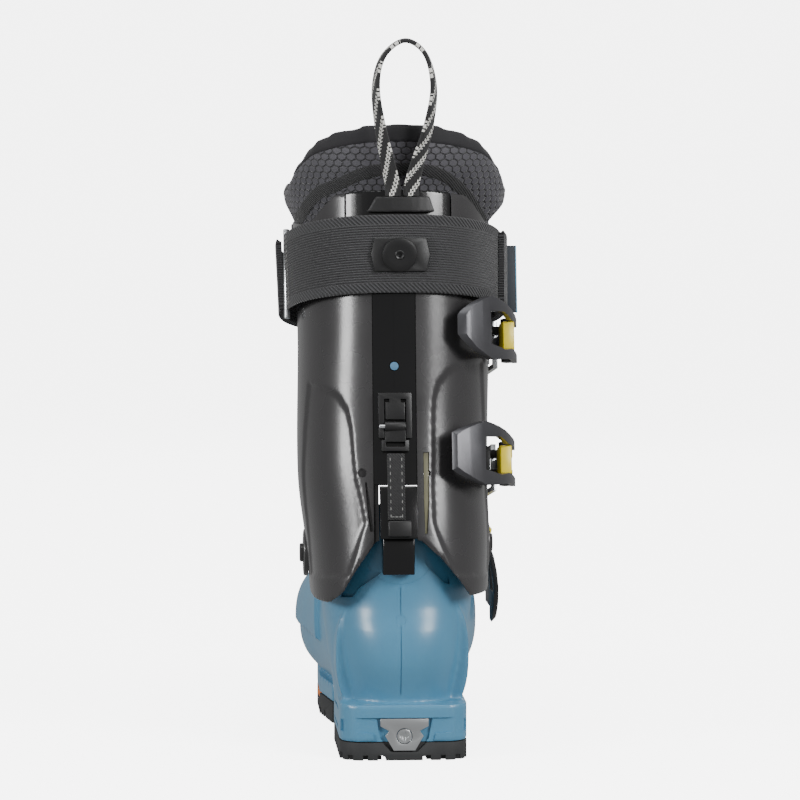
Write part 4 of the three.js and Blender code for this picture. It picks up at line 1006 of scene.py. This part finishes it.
class BOOT_OT_soles(bpy.types.Operator):
    """Rubber soles, their screws and the steel binding fittings"""

    bl_idname = "boot.soles"
    bl_label = "Soles and fittings"

    def execute(self, context):
        # Heel: a lugged rubber block with side teeth and a plain centre block.
        heel_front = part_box("heel_sole")[1][1] * 1000
        heel = prism(rounded(HEEL_WIDTH, HEEL_BACK, heel_front, HEEL_CORNER), "z", 0, HEEL_RUBBER)
        cuts = []
        for y in (-31, -19.5, -8, 3.5, 15, 26.5):
            cuts += [block((20, 3.4, 7.6), (side * 34.5, y, 0)) for side in (-1, 1)]
        for x in (-29, -21, -13, 13, 21, 29):
            cuts.append(block((2.6, 8, 5.6), (x, HEEL_BACK, 0)))
        cuts += [block((2.2, 90, 4.4), (x, 0, 0)) for x in (-11, 11)]
        cuts.append(prism([(-15.5, 22), (-13.4, 11), (-7, 4.6), (7, 4.6), (13.4, 11), (15.5, 22)], "y",
                          HEEL_BACK - 4, HEEL_BACK + 2.2))
        for side, n in ((-1, 1), (1, 2)):
            low, high = span(f"heel_sole_screw_{n}")
            cuts.append(pin(SCREW_ROOM, 30, "z", ((low.x + high.x) / 2, (low.y + high.y) / 2, -9.5)))
        bm = eased(as_bmesh(combined(heel, cuts)), 0.5)
        publish("heel_tread", bm, "shell", "vulcanised_black_rubber", "sole_rubber", ["heel_sole"])

        toe = prism(toe_footprint(0, TOE_SOLE_BACK, TOE_TIP), "z", 0, TOE_RUBBER)
        cuts = []
        for i in range(11):
            y = 108 + i * 13.6
            cuts += [block((26, 4, 7.6), (side * 48, y, 0)) for side in (-1, 1)]
            if i % 2:
                cuts.append(block((120, 2.4, 3.6), (0, y + 6.8, 0)))
        cuts.append(block((3, 150, 3.6), (0, 180, 0)))
        for n in (1, 2):
            low, high = span(f"toe_sole_screw_{n}")
            cuts.append(pin(SCREW_ROOM, 30, "z", ((low.x + high.x) / 2, (low.y + high.y) / 2, -7.5)))
        low, high = span("toe_sole_accent")
        middle, size = (low + high) / 2, high - low
        groove = (low.x + size.x / 2 - 14.2, middle.y, middle.z + 1.4)
        cuts.append(block((size.x + 30, size.y + 0.6, size.z + 3), groove))
        bm = eased(as_bmesh(combined(toe, cuts)), 0.45)
        publish("toe_tread", bm, "shell", "vulcanised_black_rubber", "sole_rubber", ["toe_sole"])
        refined("toe_sole_accent", "orange_thermoplastic_rubber", 0.4)
        for node in ("heel_sole_screw_1", "heel_sole_screw_2", "toe_sole_screw_1", "toe_sole_screw_2"):
            low, high = span(node)
            centre = ((low.x + high.x) / 2, (low.y + high.y) / 2, low.z)
            refined(node, "brushed_stainless_steel", 0.25, cross_recess(centre, "z", 4.4))
        refined("toe_binding_insert", "brushed_stainless_steel", 0.5)
        refined("heel_binding_plate", "brushed_stainless_steel", 0.45, name="heel_plate_stamping")
        low, high = span("heel_plate_screw")
        centre = ((low.x + high.x) / 2, low.y, (low.z + high.z) / 2)
        refined("heel_plate_screw", "brushed_stainless_steel", 0.3, cross_recess(centre, "y", 4.8))
        refined("boot_board", "textured_black_nylon", 0.8)
        return {"FINISHED"}


# ---------- Liner ----------
def swollen(bm, voxel, cap, shrink, pressure):
    """A padded form: remeshed, blown up by a short cloth simulation and held near its shape."""
    made = moulded(work_object(bm), voxel, 6, 1)
    scale = as_bmesh(made)
    bmesh.ops.scale(scale, vec=(MM, MM, MM), verts=scale.verts)
    for vert in scale.verts:
        vert.co -= vert.normal * shrink * MM
    made = work_object(scale)
    start_places = [v.co.copy() for v in made.data.vertices]
    cloth = made.modifiers.new("cloth", "CLOTH")
    cloth.settings.use_pressure = True
    cloth.settings.uniform_pressure_force = pressure
    cloth.settings.effector_weights.gravity = 0
    cloth.settings.quality = 5
    for number in range(1, 21):
        bpy.context.scene.frame_set(number)
    settle(made)
    bpy.context.scene.frame_set(1)
    for vert, at in zip(made.data.vertices, start_places):
        move = vert.co - at
        limit = cap * MM
        if move.length > limit:
            vert.co = at + move * (limit / move.length)
    soft = made.modifiers.new("soften", "SMOOTH")
    soft.iterations = 9
    fine = made.modifiers.new("fine", "SUBSURF")
    fine.levels = fine.render_levels = 1
    return settle(made)


def cloth_map(made, centre):
    """Keeps each vertex's place round and up the liner, in millimetres, for the fabric's pattern."""
    layer = made.data.attributes.new("cloth_mm", "FLOAT_VECTOR", "POINT")
    for i, vert in enumerate(made.data.vertices):
        x, y, z = vert.co * 1000
        middle = centre + (z - 300) * math.tan(LEAN)
        round_mm = math.atan2(x, -(y - middle)) * 54
        layer.data[i].vector = (round_mm, z, 0)


class BOOT_OT_liner(bpy.types.Operator):
    """Padded liner: collar with embossed cloth, neoprene binding, twill band, tongue and foot"""

    bl_idname = "boot.liner"
    bl_label = "Liner"

    def execute(self, context):
        pressure = context.scene.boot_sizes.pressure

        def whole(made, name, node, finish, fill, body):
            bm = bmesh.new()
            bm.from_mesh(made.data)
            bpy.data.objects.remove(made)
            piece = publish(name, bm, body, finish, "liner_cloth", [node] if node else (), 60, metres=True)
            return piece

        collar = swollen(node_copy("liner_cuff"), 4.0, 5, 0.4, pressure)
        # Above the rim the collar relaxes outwards, most of all on the outer side.
        for vert in collar.data.vertices:
            x, y, z = vert.co * 1000
            slope = min(1, max(0, (RIM_OUT - abs(x)) / (RIM_OUT - RIM_IN)))
            rim = SIDE_RIM + slope * (RIM_HEIGHT - SIDE_RIM)
            free = min(1, max(0, (z - rim + 1) / 9))
            free *= free * (3 - 2 * free)
            vert.co += Vector((x * (0.17 if x > 0 else 0.07), -1, 3)) * free * MM
        band_source = work_object(from_object(collar, 1000))
        cloth_map(collar, PIVOT_Y + 32)
        whole(collar, "liner_collar", "liner_cuff", "embossed_hexagon_fabric", 0.8, "cuff")

        # Binding: the top of the collar, turned over and standing a little proud.
        def sleeve(source, outline, out, name, finish):
            copy = source.copy()
            copy.data = source.data.copy()
            bpy.context.scene.collection.objects.link(copy)
            strip = combined(copy, [outline], "INTERSECT")
            bm = as_bmesh(strip)
            bmesh.ops.remove_doubles(bm, verts=bm.verts, dist=0.01)
            bm.normal_update()
            for vert in bm.verts:
                vert.co += vert.normal * out
            strip = moulded(work_object(bm), 0.9, 10, 0.6)
            bm = as_bmesh(strip)
            uv = bm.loops.layers.uv.new("UVMap")
            for face in bm.faces:
                for loop in face.loops:
                    x, y, z = loop.vert.co
                    loop[uv].uv = (math.atan2(x, -(y - PIVOT_Y - 32)) * 5.4, z / 10)
            piece = publish(name, bm, "cuff", finish, "liner_cloth", (), 60)

        low = 9
        sleeve(band_source, prism([
            (-FAR, LINER_TOP - low), (PIVOT_Y - 42, LINER_TOP - low), (PIVOT_Y - 18, LINER_TOP - 9 - low),
            (PIVOT_Y + 12, LINER_SIDE - low + 2), (PIVOT_Y + 46, LINER_SIDE - 8 - low + 2),
            (PIVOT_Y + 78, LINER_SIDE - 8 - low + 2), (FAR, LINER_SIDE - 8 - low + 2), (FAR, FAR),
            (-FAR, FAR),
        ], "x", -FAR, FAR), 0.55, "collar_binding", "bonded_neoprene")
        # Twill band: an arch sewn round the rear cut-out.
        arch = through([(-54, 284), (-44, 301), (-34, 306.5), (-18, 314), (0, 316), (20, 313.4), (37, 300.4),
                        (47, 285)])
        xs = [-54 + i * 101 / 30 for i in range(31)]
        upper = [(x * 1.06, arch(x) + 5.4) for x in xs]
        lower = [(x, arch(x) - 1.6) for x in reversed(xs)]
        sleeve(band_source, prism(upper + lower, "y", -FAR, PIVOT_Y + 12), 0.5, "collar_twill_band",
               "black_twill_webbing")
        bpy.data.objects.remove(band_source)

        tongue = swollen(node_copy("liner_tongue"), 4.0, 4, 0.4, pressure)
        cloth_map(tongue, PIVOT_Y + 32)
        whole(tongue, "liner_tongue_pad", "liner_tongue", "brushed_liner_fleece", 0.75, "cuff")
        foot = swollen(node_copy("liner_foot"), 5.0, 1.2, 0.5, pressure)
        whole(foot, "liner_foot_pad", "liner_foot", "brushed_liner_fleece", 0.6, "shell")
        bed = swollen(node_copy("footbed"), 1.6, 0.3, 0.1, 0)
        whole(bed, "footbed_pad", "footbed", "brushed_liner_fleece", 0.4, "shell")
        return {"FINISHED"}


def from_object(made, factor):
    bm = bmesh.new()
    bm.from_mesh(made.data)
    bmesh.ops.scale(bm, vec=(factor, factor, factor), verts=bm.verts)
    return bm


# ---------- Cuff ----------
def cuff_body(grow, low=-40, high=CUFF_TOP + 16, sides=112, rings=44):
    return lofted(lambda angle, share: cuff_point(angle, low + share * (high - low), grow), sides, rings)


def cuff_skin(inside, outside):
    return combined(cuff_body(outside), [cuff_body(inside, -44, CUFF_TOP + 20)])


def leaned_slab(low, high):
    bm = block((FAR, FAR, high - low), (0, 0, (low + high) / 2))
    turn = Matrix.Translation((0, PIVOT_Y, PIVOT_Z)) @ Matrix.Rotation(-LEAN, 4, "X")
    bmesh.ops.transform(bm, matrix=turn, verts=bm.verts)
    return bm


def rear_band(centre, width, low, high):
    return prism([(centre - width / 2, low), (centre - width / 2, high), (centre + width / 2, high),
                  (centre + width / 2, low)], "y", -FAR, 0)


SIDE_RIM = 287  # the rim's height at the sides, which it reaches between the next two widths
RIM_OUT = 49
RIM_IN = 31.5
DISC_SUNK = 1.5  # how far the round caps sit below the frame's own caps
DISC_DEEP = 2.6


def pivot_face(side):
    """Outermost reach of a side's pivot cap, in millimetres from the middle."""
    low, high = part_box("inner_pivot_cap" if side < 0 else "outer_pivot_cap")
    return 1000 * (-low[0] if side < 0 else high[0])


class BOOT_OT_cuff(bpy.types.Operator):
    """Leaning cuff with its side panels, slots and front overlap"""

    bl_idname = "boot.cuff"
    bl_label = "Cuff"

    def execute(self, context):
        voxel = context.scene.boot_sizes.voxel * 1
        skin = cuff_skin(-CUFF_WALL, 0)
        wing = combined(cuff_skin(-1, FLAP_STEP), [prism([
            (-FAR, 0), (26, 0), (26, FAR), (-FAR, FAR),
        ], "y", PIVOT_Y + 45, FAR)], "INTERSECT")
        skin = combined(skin, [wing], "UNION")
        arch = prism([
            (-FAR, 0), (-FAR, CUFF_TIP_INNER), (-40, CUFF_TIP_INNER), (-33, CUFF_TIP_INNER + 6),
            (-27, CUFF_TIP_INNER + 17), (-15, ARCH_TOP - 1), (9, ARCH_TOP - 1), (20, CUFF_TIP_OUTER + 21),
            (29, CUFF_TIP_OUTER + 10), (36, CUFF_TIP_OUTER), (FAR, CUFF_TIP_OUTER), (FAR, 0),
        ], "y", -FAR, 12)
        front = prism([
            (-FAR, 0), (-FAR, CUFF_TIP_INNER - 8), (-10, CUFF_TIP_INNER), (40, CUFF_TIP_INNER + 1),
            (52, CUFF_TIP_INNER + 10), (62, 118), (78, FRONT_EDGE - 10), (104, FRONT_EDGE),
            (FAR, FRONT_EDGE + 6), (FAR, 0),
        ], "x", -FAR, FAR)
        top = prism([
            (PIVOT_Y - 10, 320), (PIVOT_Y + 40, 300), (PIVOT_Y + 75, 268), (FAR, 250), (FAR, FAR),
            (PIVOT_Y - 10, FAR),
        ], "x", -FAR, FAR)
        # Side panels sunk behind a soft edge, with a hole and a slot beside the spine.
        inner_panel = [(-75, 206), (-53, 202), (-41, 199.5), (-34.3, 195.7), (-29.5, 188), (-27.4, 177),
                       (-26.6, 163.4), (-25.4, 151.5), (-22.6, 140), (-20.6, 128), (-30, 100), (-75, 90)]
        outer_panel = [(75, 216), (30, 212), (24, 208.6), (19, 203), (16.6, 196), (15.8, 186), (15.6, 163.4),
                       (15.2, 148), (15.6, 128), (28, 100), (75, 92)]
        panels = []
        for points in (inner_panel, outer_panel):
            tool = combined(cuff_body(5), [cuff_body(-1.1)])
            panels.append(combined(tool, [prism(points, "y", -FAR, 4)], "INTERSECT"))
        cuff = combined(skin, [leaned_slab(CUFF_TOP, CUFF_TOP + 200), arch, front, top] + panels)
        cuff = moulded(cuff, voxel, 5, 0.5)
        channel = rear_band(SPINE_SHIFT, CHANNEL_WIDTH, 60, CHANNEL_TOP)
        channel = combined(channel, [cuff_body(-CHANNEL_DEPTH)])
        left, right = LATCH_SHIFT - LATCH_WIDTH / 2 - GAP, LATCH_SHIFT + LATCH_WIDTH / 2 + GAP
        room_top = LATCH_HOOD_TOP + GAP
        room = prism([(left, 0), (left, room_top), (right, room_top), (right, 0)], "y", -FAR, 0)
        # The rim stands high at the spine and drops to the strap's height at both sides.
        shoulders = [
            prism([
                (side * FAR, SIDE_RIM), (side * RIM_OUT, SIDE_RIM), (side * (RIM_IN + 9), SIDE_RIM + 11),
                (side * RIM_IN, RIM_HEIGHT + 1), (side * RIM_IN, FAR), (side * FAR, FAR),
            ], "y", -FAR, FAR)
            for side in (-1, 1)
        ]
        cuts = [channel, room, rear_band(SPINE_SHIFT + 3, 58, SPOILER_LOW, FAR)] + shoulders
        for side in (-1, 1):
            height = PIVOT_Z + side * PIVOT_TILT / 2
            cuts.append(pin(7.3, 60, "x", (side * 55, PIVOT_Y, height), 48))
            face = pivot_face(side) - DISC_SUNK - DISC_DEEP - 0.1
            cuts.append(pin(13.5, 20, "x", (side * (face + 10), PIVOT_Y, height), 72))
        cuts.append(pin(2.6, 40, "y", (SPINE_SHIFT, PIVOT_Y - 70, 212), 32))
        cuts += [pin(2.4, 40, "y", (-22.4, -50, 155), 32), pin(1.9, 40, "y", (12.6, -50, 155), 32)]

        def slot(points, depth):
            tool = combined(cuff_body(4), [cuff_body(-depth)])
            return combined(tool, [prism(points, "y", -FAR, 0)], "INTERSECT")

        cuts.append(slot([
            (-20.8, 150), (-20, 150), (-17.4, 132), (-16.6, 124), (-18.4, 124), (-19.6, 134),
        ], 2.0))
        cuts.append(slot([
            (10.6, 166), (13.8, 166), (13.6, 140), (12.4, 122.6), (11, 122.6), (10.6, 140),
        ], 1.5))
        cuff = combined(cuff, cuts)
        publish(
            "cuff_moulding", cuff, "cuff", "moulded_grey_polyether", "cuff_grey", ["cuff_shell"], sharp=32,
        )

        strip = combined(cuff_skin(-1.9, -0.9), [prism([
            (10.8, 165.8), (13.6, 165.8), (13.4, 140), (12.2, 122.9), (11.2, 122.9), (10.8, 140),
        ], "y", -FAR, 0)], "INTERSECT")
        publish("cuff_window_strip", strip, "cuff", "thin_olive_polyether", "cuff_grey")
        return {"FINISHED"}


class BOOT_OT_spine(bpy.types.Operator):
    """Black spine, walk lever, its webbing pull and the latch blocks"""

    bl_idname = "boot.spine"
    bl_label = "Spine and walk lever"

    def execute(self, context):
        edge = context.scene.boot_sizes.edge
        # Spine: a smooth strip in the channel with a fine mould line down the middle.
        inside = -CHANNEL_DEPTH + GAP
        spine = combined(cuff_skin(inside, inside + 1.5), [
            rear_band(SPINE_SHIFT, CHANNEL_WIDTH - 2 * GAP, LATCH_HOOD_TOP + 1, CHANNEL_TOP - 1),
        ], "INTERSECT")
        groove = combined(cuff_body(2), [cuff_body(inside + 1.3)])
        groove = combined(groove, [rear_band(SPINE_SHIFT - 0.2, 0.5, 200, CHANNEL_TOP)], "INTERSECT")
        spine = combined(spine, [groove, pin(2.6, 40, "y", (SPINE_SHIFT, PIVOT_Y - 70, 212), 32)])
        publish("spine_strip", spine, "cuff", "polished_black_nylon", SLOT_OF["cuff_spine"], ["cuff_spine"])
        refined("spine_plug", "moulded_blue_plug", 0.25)
        refined("lever_frame", "textured_black_nylon", edge)
        refined("lever_axle", "brushed_stainless_steel", 0.2)
        refined("walk_lever", "textured_black_nylon", edge)
        refined("latch_hood", "polished_black_nylon", edge)
        refined("latch_block", "polished_black_nylon", edge)
        refined("latch_bar", "brushed_stainless_steel", 0.2)

        # Webbing pull with two rows of stitches.
        pull = node_copy("lever_pull")
        low, high = span("lever_pull")
        uv = pull.loops.layers.uv.new("UVMap")
        eased(pull, 0.4)
        for face in pull.faces:
            for loop in face.loops:
                loop[uv].uv = (loop.vert.co.z / 10, loop.vert.co.x / 10)
        publish("lever_pull_webbing", pull, "lever_pull", "black_twill_webbing", "webbing", ["lever_pull"])
        run = Vector((0, high.y - low.y - 1.6, high.z - low.z))
        outward = Vector((0, -run.z, run.y)).normalized()
        bottom = Vector(((low.x + high.x) / 2, low.y, low.z))
        rows = []
        for side in (-1, 1):
            for i in range(9):
                at = bottom + run * ((i + 0.6) / 9.4) + Vector((side * 3.1, 0, 0)) + outward * 0.1
                rows.append((at, run, outward))
        for i in range(3):
            at = bottom + run * 0.05 + Vector((-2 + 2 * i, 0, 0)) + outward * 0.1
            rows.append((at, Vector((1, 0, 0)), outward))
        publish("lever_pull_stitches", stitches(rows, 0.5, context.scene.boot_sizes.stitch * 0.9, 0.5),
                "lever_pull", "bonded_polyester_thread", "webbing")
        refined("lever_pull_tab", "textured_black_nylon", edge)
        return {"FINISHED"}


class BOOT_OT_pivots(bpy.types.Operator):
    """Round caps and bolts on which the cuff swings"""

    bl_idname = "boot.pivots"
    bl_label = "Pivots"

    def execute(self, context):
        for side, name in ((-1, "inner"), (1, "outer")):
            low, high = span(f"{name}_pivot_cap")
            face = side * (pivot_face(side) - DISC_SUNK)
            centre = Vector((face, (low.y + high.y) / 2, (low.z + high.z) / 2))
            out = Matrix.Translation(centre) @ Matrix.Rotation(side * math.pi / 2, 4, "Y")
            cap = turned([
                (5.7, -DISC_DEEP), (5.7, -0.5), (6.2, 0), (6.8, 0), (7.1, -0.35), (7.5, -0.35), (7.8, 0.05),
                (11.6, 0), (12.6, -0.2), (12.9, -0.6), (12.9, -DISC_DEEP),
            ], 72, out)
            publish(
                f"{name}_pivot_disc", cap, "cuff", "moulded_grey_polyether", SLOT_OF[f"{name}_pivot_cap"],
                [f"{name}_pivot_cap"],
            )
            low, high = span(f"{name}_pivot_bolt")
            face = low.x if side < 0 else high.x
            centre = Vector((face, (low.y + high.y) / 2, (low.z + high.z) / 2))
            out = Matrix.Translation(centre) @ Matrix.Rotation(side * math.pi / 2, 4, "Y")
            long = high.x - low.x
            bolt = turned([
                (0, 0), (4.6, 0), (5.2, -0.5), (5.2, -3.4), (4.6, -3.6), (4.6, -long), (0, -long),
            ], 48, out)
            hexagon = pin(1.5, 4, "x", centre, 6)
            publish(
                f"{name}_pivot_bolt_head", combined(bolt, [hexagon]), "shell", "moulded_grey_polyether",
                SLOT_OF[f"{name}_pivot_bolt"], [f"{name}_pivot_bolt"],
            )
        return {"FINISHED"}


# ---------- Strap ----------
def strap_run(first, last, grow, thick, low, high, columns, rows, ribs):
    """A band round the cuff between two angles, mapped in millimetres."""
    bm = bmesh.new()
    uv = bm.loops.layers.uv.new("UVMap")
    bmesh.ops.create_grid(bm, x_segments=columns, y_segments=rows, size=0.5)
    middle = (low + high) / 2
    mapped = {}
    lengths = [0]
    before = strap_point(first, middle, grow)
    for i in range(1, columns + 1):
        at = strap_point(first + (last - first) * i / columns, middle, grow)
        lengths.append(lengths[-1] + (at - before).length)
        before = at
    for vert in bm.verts:
        u, v = vert.co.x + 0.5, vert.co.y + 0.5
        along = low + v * (high - low)
        angle = first + (last - first) * u
        across = along - middle
        rib = 0.16 * math.sin(TURN * across / 1.35) if ribs and abs(across) < STRAP_WIDTH / 2 - 5.4 else 0
        edge = min(abs(low - along), abs(high - along))
        fall = -0.5 * max(0, 1 - edge / 0.9) ** 2
        vert.co = strap_point(angle, along, grow + thick + rib + fall)
        mapped[vert] = (lengths[round(u * columns)] / 10, across / 10)
    for face in bm.faces:
        for loop in face.loops:
            loop[uv].uv = mapped[loop.vert]
    face = bm.faces[:][0]
    bm.normal_update()
    outward = face.calc_center_median() - leaned(0, -18, middle)
    if face.normal.dot(outward) < 0:
        bmesh.ops.reverse_faces(bm, faces=bm.faces)
    made = work_object(bm)
    wall = made.modifiers.new("wall", "SOLIDIFY")
    wall.thickness = thick
    wall.offset = -1
    return settle(made)


TAB_REACH = 69  # how far out the strap's hook tab stands


class BOOT_OT_strap(bpy.types.Operator):
    """Power strap, its rod, rivet, hook-tape tab and the black spoiler under it"""

    bl_idname = "boot.strap"
    bl_label = "Power strap"

    def execute(self, context):
        low, high = STRAP_MID - STRAP_WIDTH / 2, STRAP_MID + STRAP_WIDTH / 2
        hole = pin(4.4, 40, "y", strap_point(-math.pi / 2, STRAP_MID, 0), 32)
        rear = strap_run(-math.pi * 0.955, 0.13, 0, STRAP_THICK, low, high, 220, 124, True)
        publish("power_strap_rear", combined(rear, [hole]), "cuff", "ribbed_polyester_strap", "webbing",
                ["power_strap"], sharp=60)
        front = strap_run(
            -0.36, math.pi * 1.02, STRAP_THICK + GAP, STRAP_THICK, low + 1, high - 1, 220, 60, False,
        )
        publish(
            "power_strap_front", front, "cuff", "ribbed_polyester_strap", "webbing", ["strap_front"],
            sharp=60,
        )

        rows = []
        for angle, count in ((-math.pi * 0.935, 15), (-math.pi * 0.92, 15), (0.05, 15)):
            for i in range(count):
                along = low + 3 + (STRAP_WIDTH - 6) * i / (count - 1)
                at = strap_point(angle, along, STRAP_THICK + 0.1)
                outward = strap_point(angle, along, STRAP_THICK + 1) - at
                rows.append((at, leaned(0, 0, along + 1) - leaned(0, 0, along), outward))
        length = context.scene.boot_sizes.stitch
        seams = stitches(rows, 0.6, length, 0.6)
        publish("strap_stitches", seams, "cuff", "bonded_polyester_thread", "webbing")
        refined("strap_rod", "brushed_stainless_steel", 0.5)

        # Backing plate and round cap of the strap's rivet.
        refined("strap_backing", "textured_black_nylon", 0.4)
        low_cap, high_cap = span("strap_rivet")
        centre = Vector((-1.6, low_cap.y + 1.5, (low_cap.z + high_cap.z) / 2))
        face = Matrix.Translation(centre) @ Matrix.Rotation(math.pi / 2 - math.radians(-8.8), 4, "X")
        cap = turned([
            (0, -0.9), (1.2, -0.9), (1.3, 0.1), (2.2, 0.6), (2.6, 0.2), (5.6, 0.35), (8.1, 0.5), (9.2, 0),
            (9.4, -0.8),
            (9.2, -1.5), (3.6, -1.6), (3.6, -7), (0, -7),
        ], 64, face)
        slot = SLOT_OF["strap_rivet"]
        publish("strap_rivet_cap", cap, "cuff", "textured_black_nylon", slot, ["strap_rivet"])

        # Hook-tape tab that stands out past the strap's end, with pale edging.
        root = strap_point(0.1, STRAP_MID, STRAP_THICK * 2)
        for name, finish, inner, outer, thick in (
            ("hook_tape_tab", "navy_hook_tape", root.x - 4, TAB_REACH - 0.7, 1.6),
            ("hook_tape_edging", "pale_blue_edging", TAB_REACH - 0.8, TAB_REACH, 1.9),
        ):
            blade = block((outer - inner, thick, STRAP_WIDTH - 4), (0, 0, 0))
            where = Matrix.Translation(((inner + outer) / 2, root.y + 4, root.z))
            bmesh.ops.transform(blade, matrix=where @ Matrix.Rotation(-LEAN, 4, "X"), verts=blade.verts)
            publish(name, eased(blade, 0.3), "cuff", finish, "webbing")
        spoiler = combined(cuff_skin(-CUFF_WALL + GAP, -GAP), [
            rear_band(SPINE_SHIFT + 3, 58 - 2 * GAP, SPOILER_LOW + GAP, RIM_HEIGHT + 1.3),
        ], "INTERSECT")
        spoiler = combined(spoiler, [leaned_slab(CUFF_TOP, CUFF_TOP + 200)])
        spoiler = moulded(spoiler, 0.7, 3, 0.6)
        publish("rear_spoiler", spoiler, "cuff", "polished_black_nylon", SLOT_OF["spoiler"], ["spoiler"])
        return {"FINISHED"}


# ---------- Buckles ----------
def lever_hinge(name):
    """A buckle lever's hinge point in millimetres, and its axis."""
    joint = next(j for j in RECORD["behaviour"]["joints"] if j["name"] == f"{name}_lever_hinge")
    return Vector(joint["pos_m"]) * 1000, Vector(joint["axis"]).normalized()


class BOOT_OT_buckles(bpy.types.Operator):
    """Four buckles: levers, bails, adjusters, bases and toothed ladders"""

    bl_idname = "boot.buckles"
    bl_label = "Buckles"

    def execute(self, context):
        edge = context.scene.boot_sizes.edge
        for name, dark in (
            ("lower_cuff_buckle", "anodised_dark_aluminium"), ("upper_cuff_buckle", "anodised_dark_aluminium"),
            ("instep_buckle", "textured_black_nylon"), ("toe_buckle", "textured_black_nylon"),
        ):
            # The lever's window widens behind the adjuster, which leaves a slim frame.
            hinge = lever_hinge(name)
            lever = node_copy(f"{name}_lever")
            reach = max((v.co - hinge[0]).length for v in lever.verts)
            tips = [v.co for v in lever.verts if (v.co - hinge[0]).length > 0.93 * reach]
            ahead = sum(tips, Vector()) / len(tips) - hinge[0]
            ahead = (ahead - hinge[1] * ahead.dot(hinge[1])).normalized()
            lever.free()
            turn = Matrix((ahead, hinge[1], ahead.cross(hinge[1]))).transposed().to_4x4()
            turn.translation = hinge[0]
            window = prism([
                (reach * 0.3, -7.9), (reach * 0.3, 7.9), (reach * 0.5, 10.4), (reach * 0.72, 9),
                (reach * 0.72, -9), (reach * 0.5, -10.4),
            ], "z", -40, 40)
            bmesh.ops.transform(window, matrix=turn, verts=window.verts)
            refined(f"{name}_lever", dark, 0.7, [window], segments=3)
            refined(f"{name}_base", "textured_black_nylon", edge)
            refined(f"{name}_ladder", "anodised_dark_aluminium", 0.4)
            refined(f"{name}_bail", "brushed_stainless_steel", 0.8, segments=3)
            refined(f"{name}_adjuster", "yellow_acetal", edge)
        return {"FINISHED"}


class BOOT_PT_panel(bpy.types.Panel):
    """Lists the boot's settings and the steps that build it"""

    bl_idname = "BOOT_PT_panel"
    bl_label = "Ski boot"
    bl_space_type = "VIEW_3D"
    bl_region_type = "UI"
    bl_category = "Ski boot"

    def draw(self, context):
        for group in (context.scene.boot_colours, context.scene.boot_sizes):
            for name in group.bl_rna.properties.keys():
                if name not in ("rna_type", "name"):
                    self.layout.prop(group, name)
        for step in STEPS:
            self.layout.operator(step.bl_idname)


STEPS = (
    BOOT_OT_stage, BOOT_OT_finishes, BOOT_OT_pull_loop, BOOT_OT_lower_shell, BOOT_OT_soles, BOOT_OT_liner,
    BOOT_OT_cuff, BOOT_OT_spine, BOOT_OT_pivots, BOOT_OT_strap, BOOT_OT_buckles,
)


def register():
    for kind in (BootColours, BootSizes, *STEPS, BOOT_PT_panel):
        bpy.utils.register_class(kind)
    bpy.types.Scene.boot_colours = bpy.props.PointerProperty(type=BootColours)
    bpy.types.Scene.boot_sizes = bpy.props.PointerProperty(type=BootSizes)


def unregister():
    del bpy.types.Scene.boot_colours
    del bpy.types.Scene.boot_sizes
    for kind in reversed((BootColours, BootSizes, *STEPS, BOOT_PT_panel)):
        bpy.utils.unregister_class(kind)


def main():
    register()
    for step in STEPS:
        area, name = step.bl_idname.split(".")
        if getattr(getattr(bpy.ops, area), name)() != {"FINISHED"}:
            raise RuntimeError(step.bl_label + " did not finish")


if __name__ == "__main__":
    main()
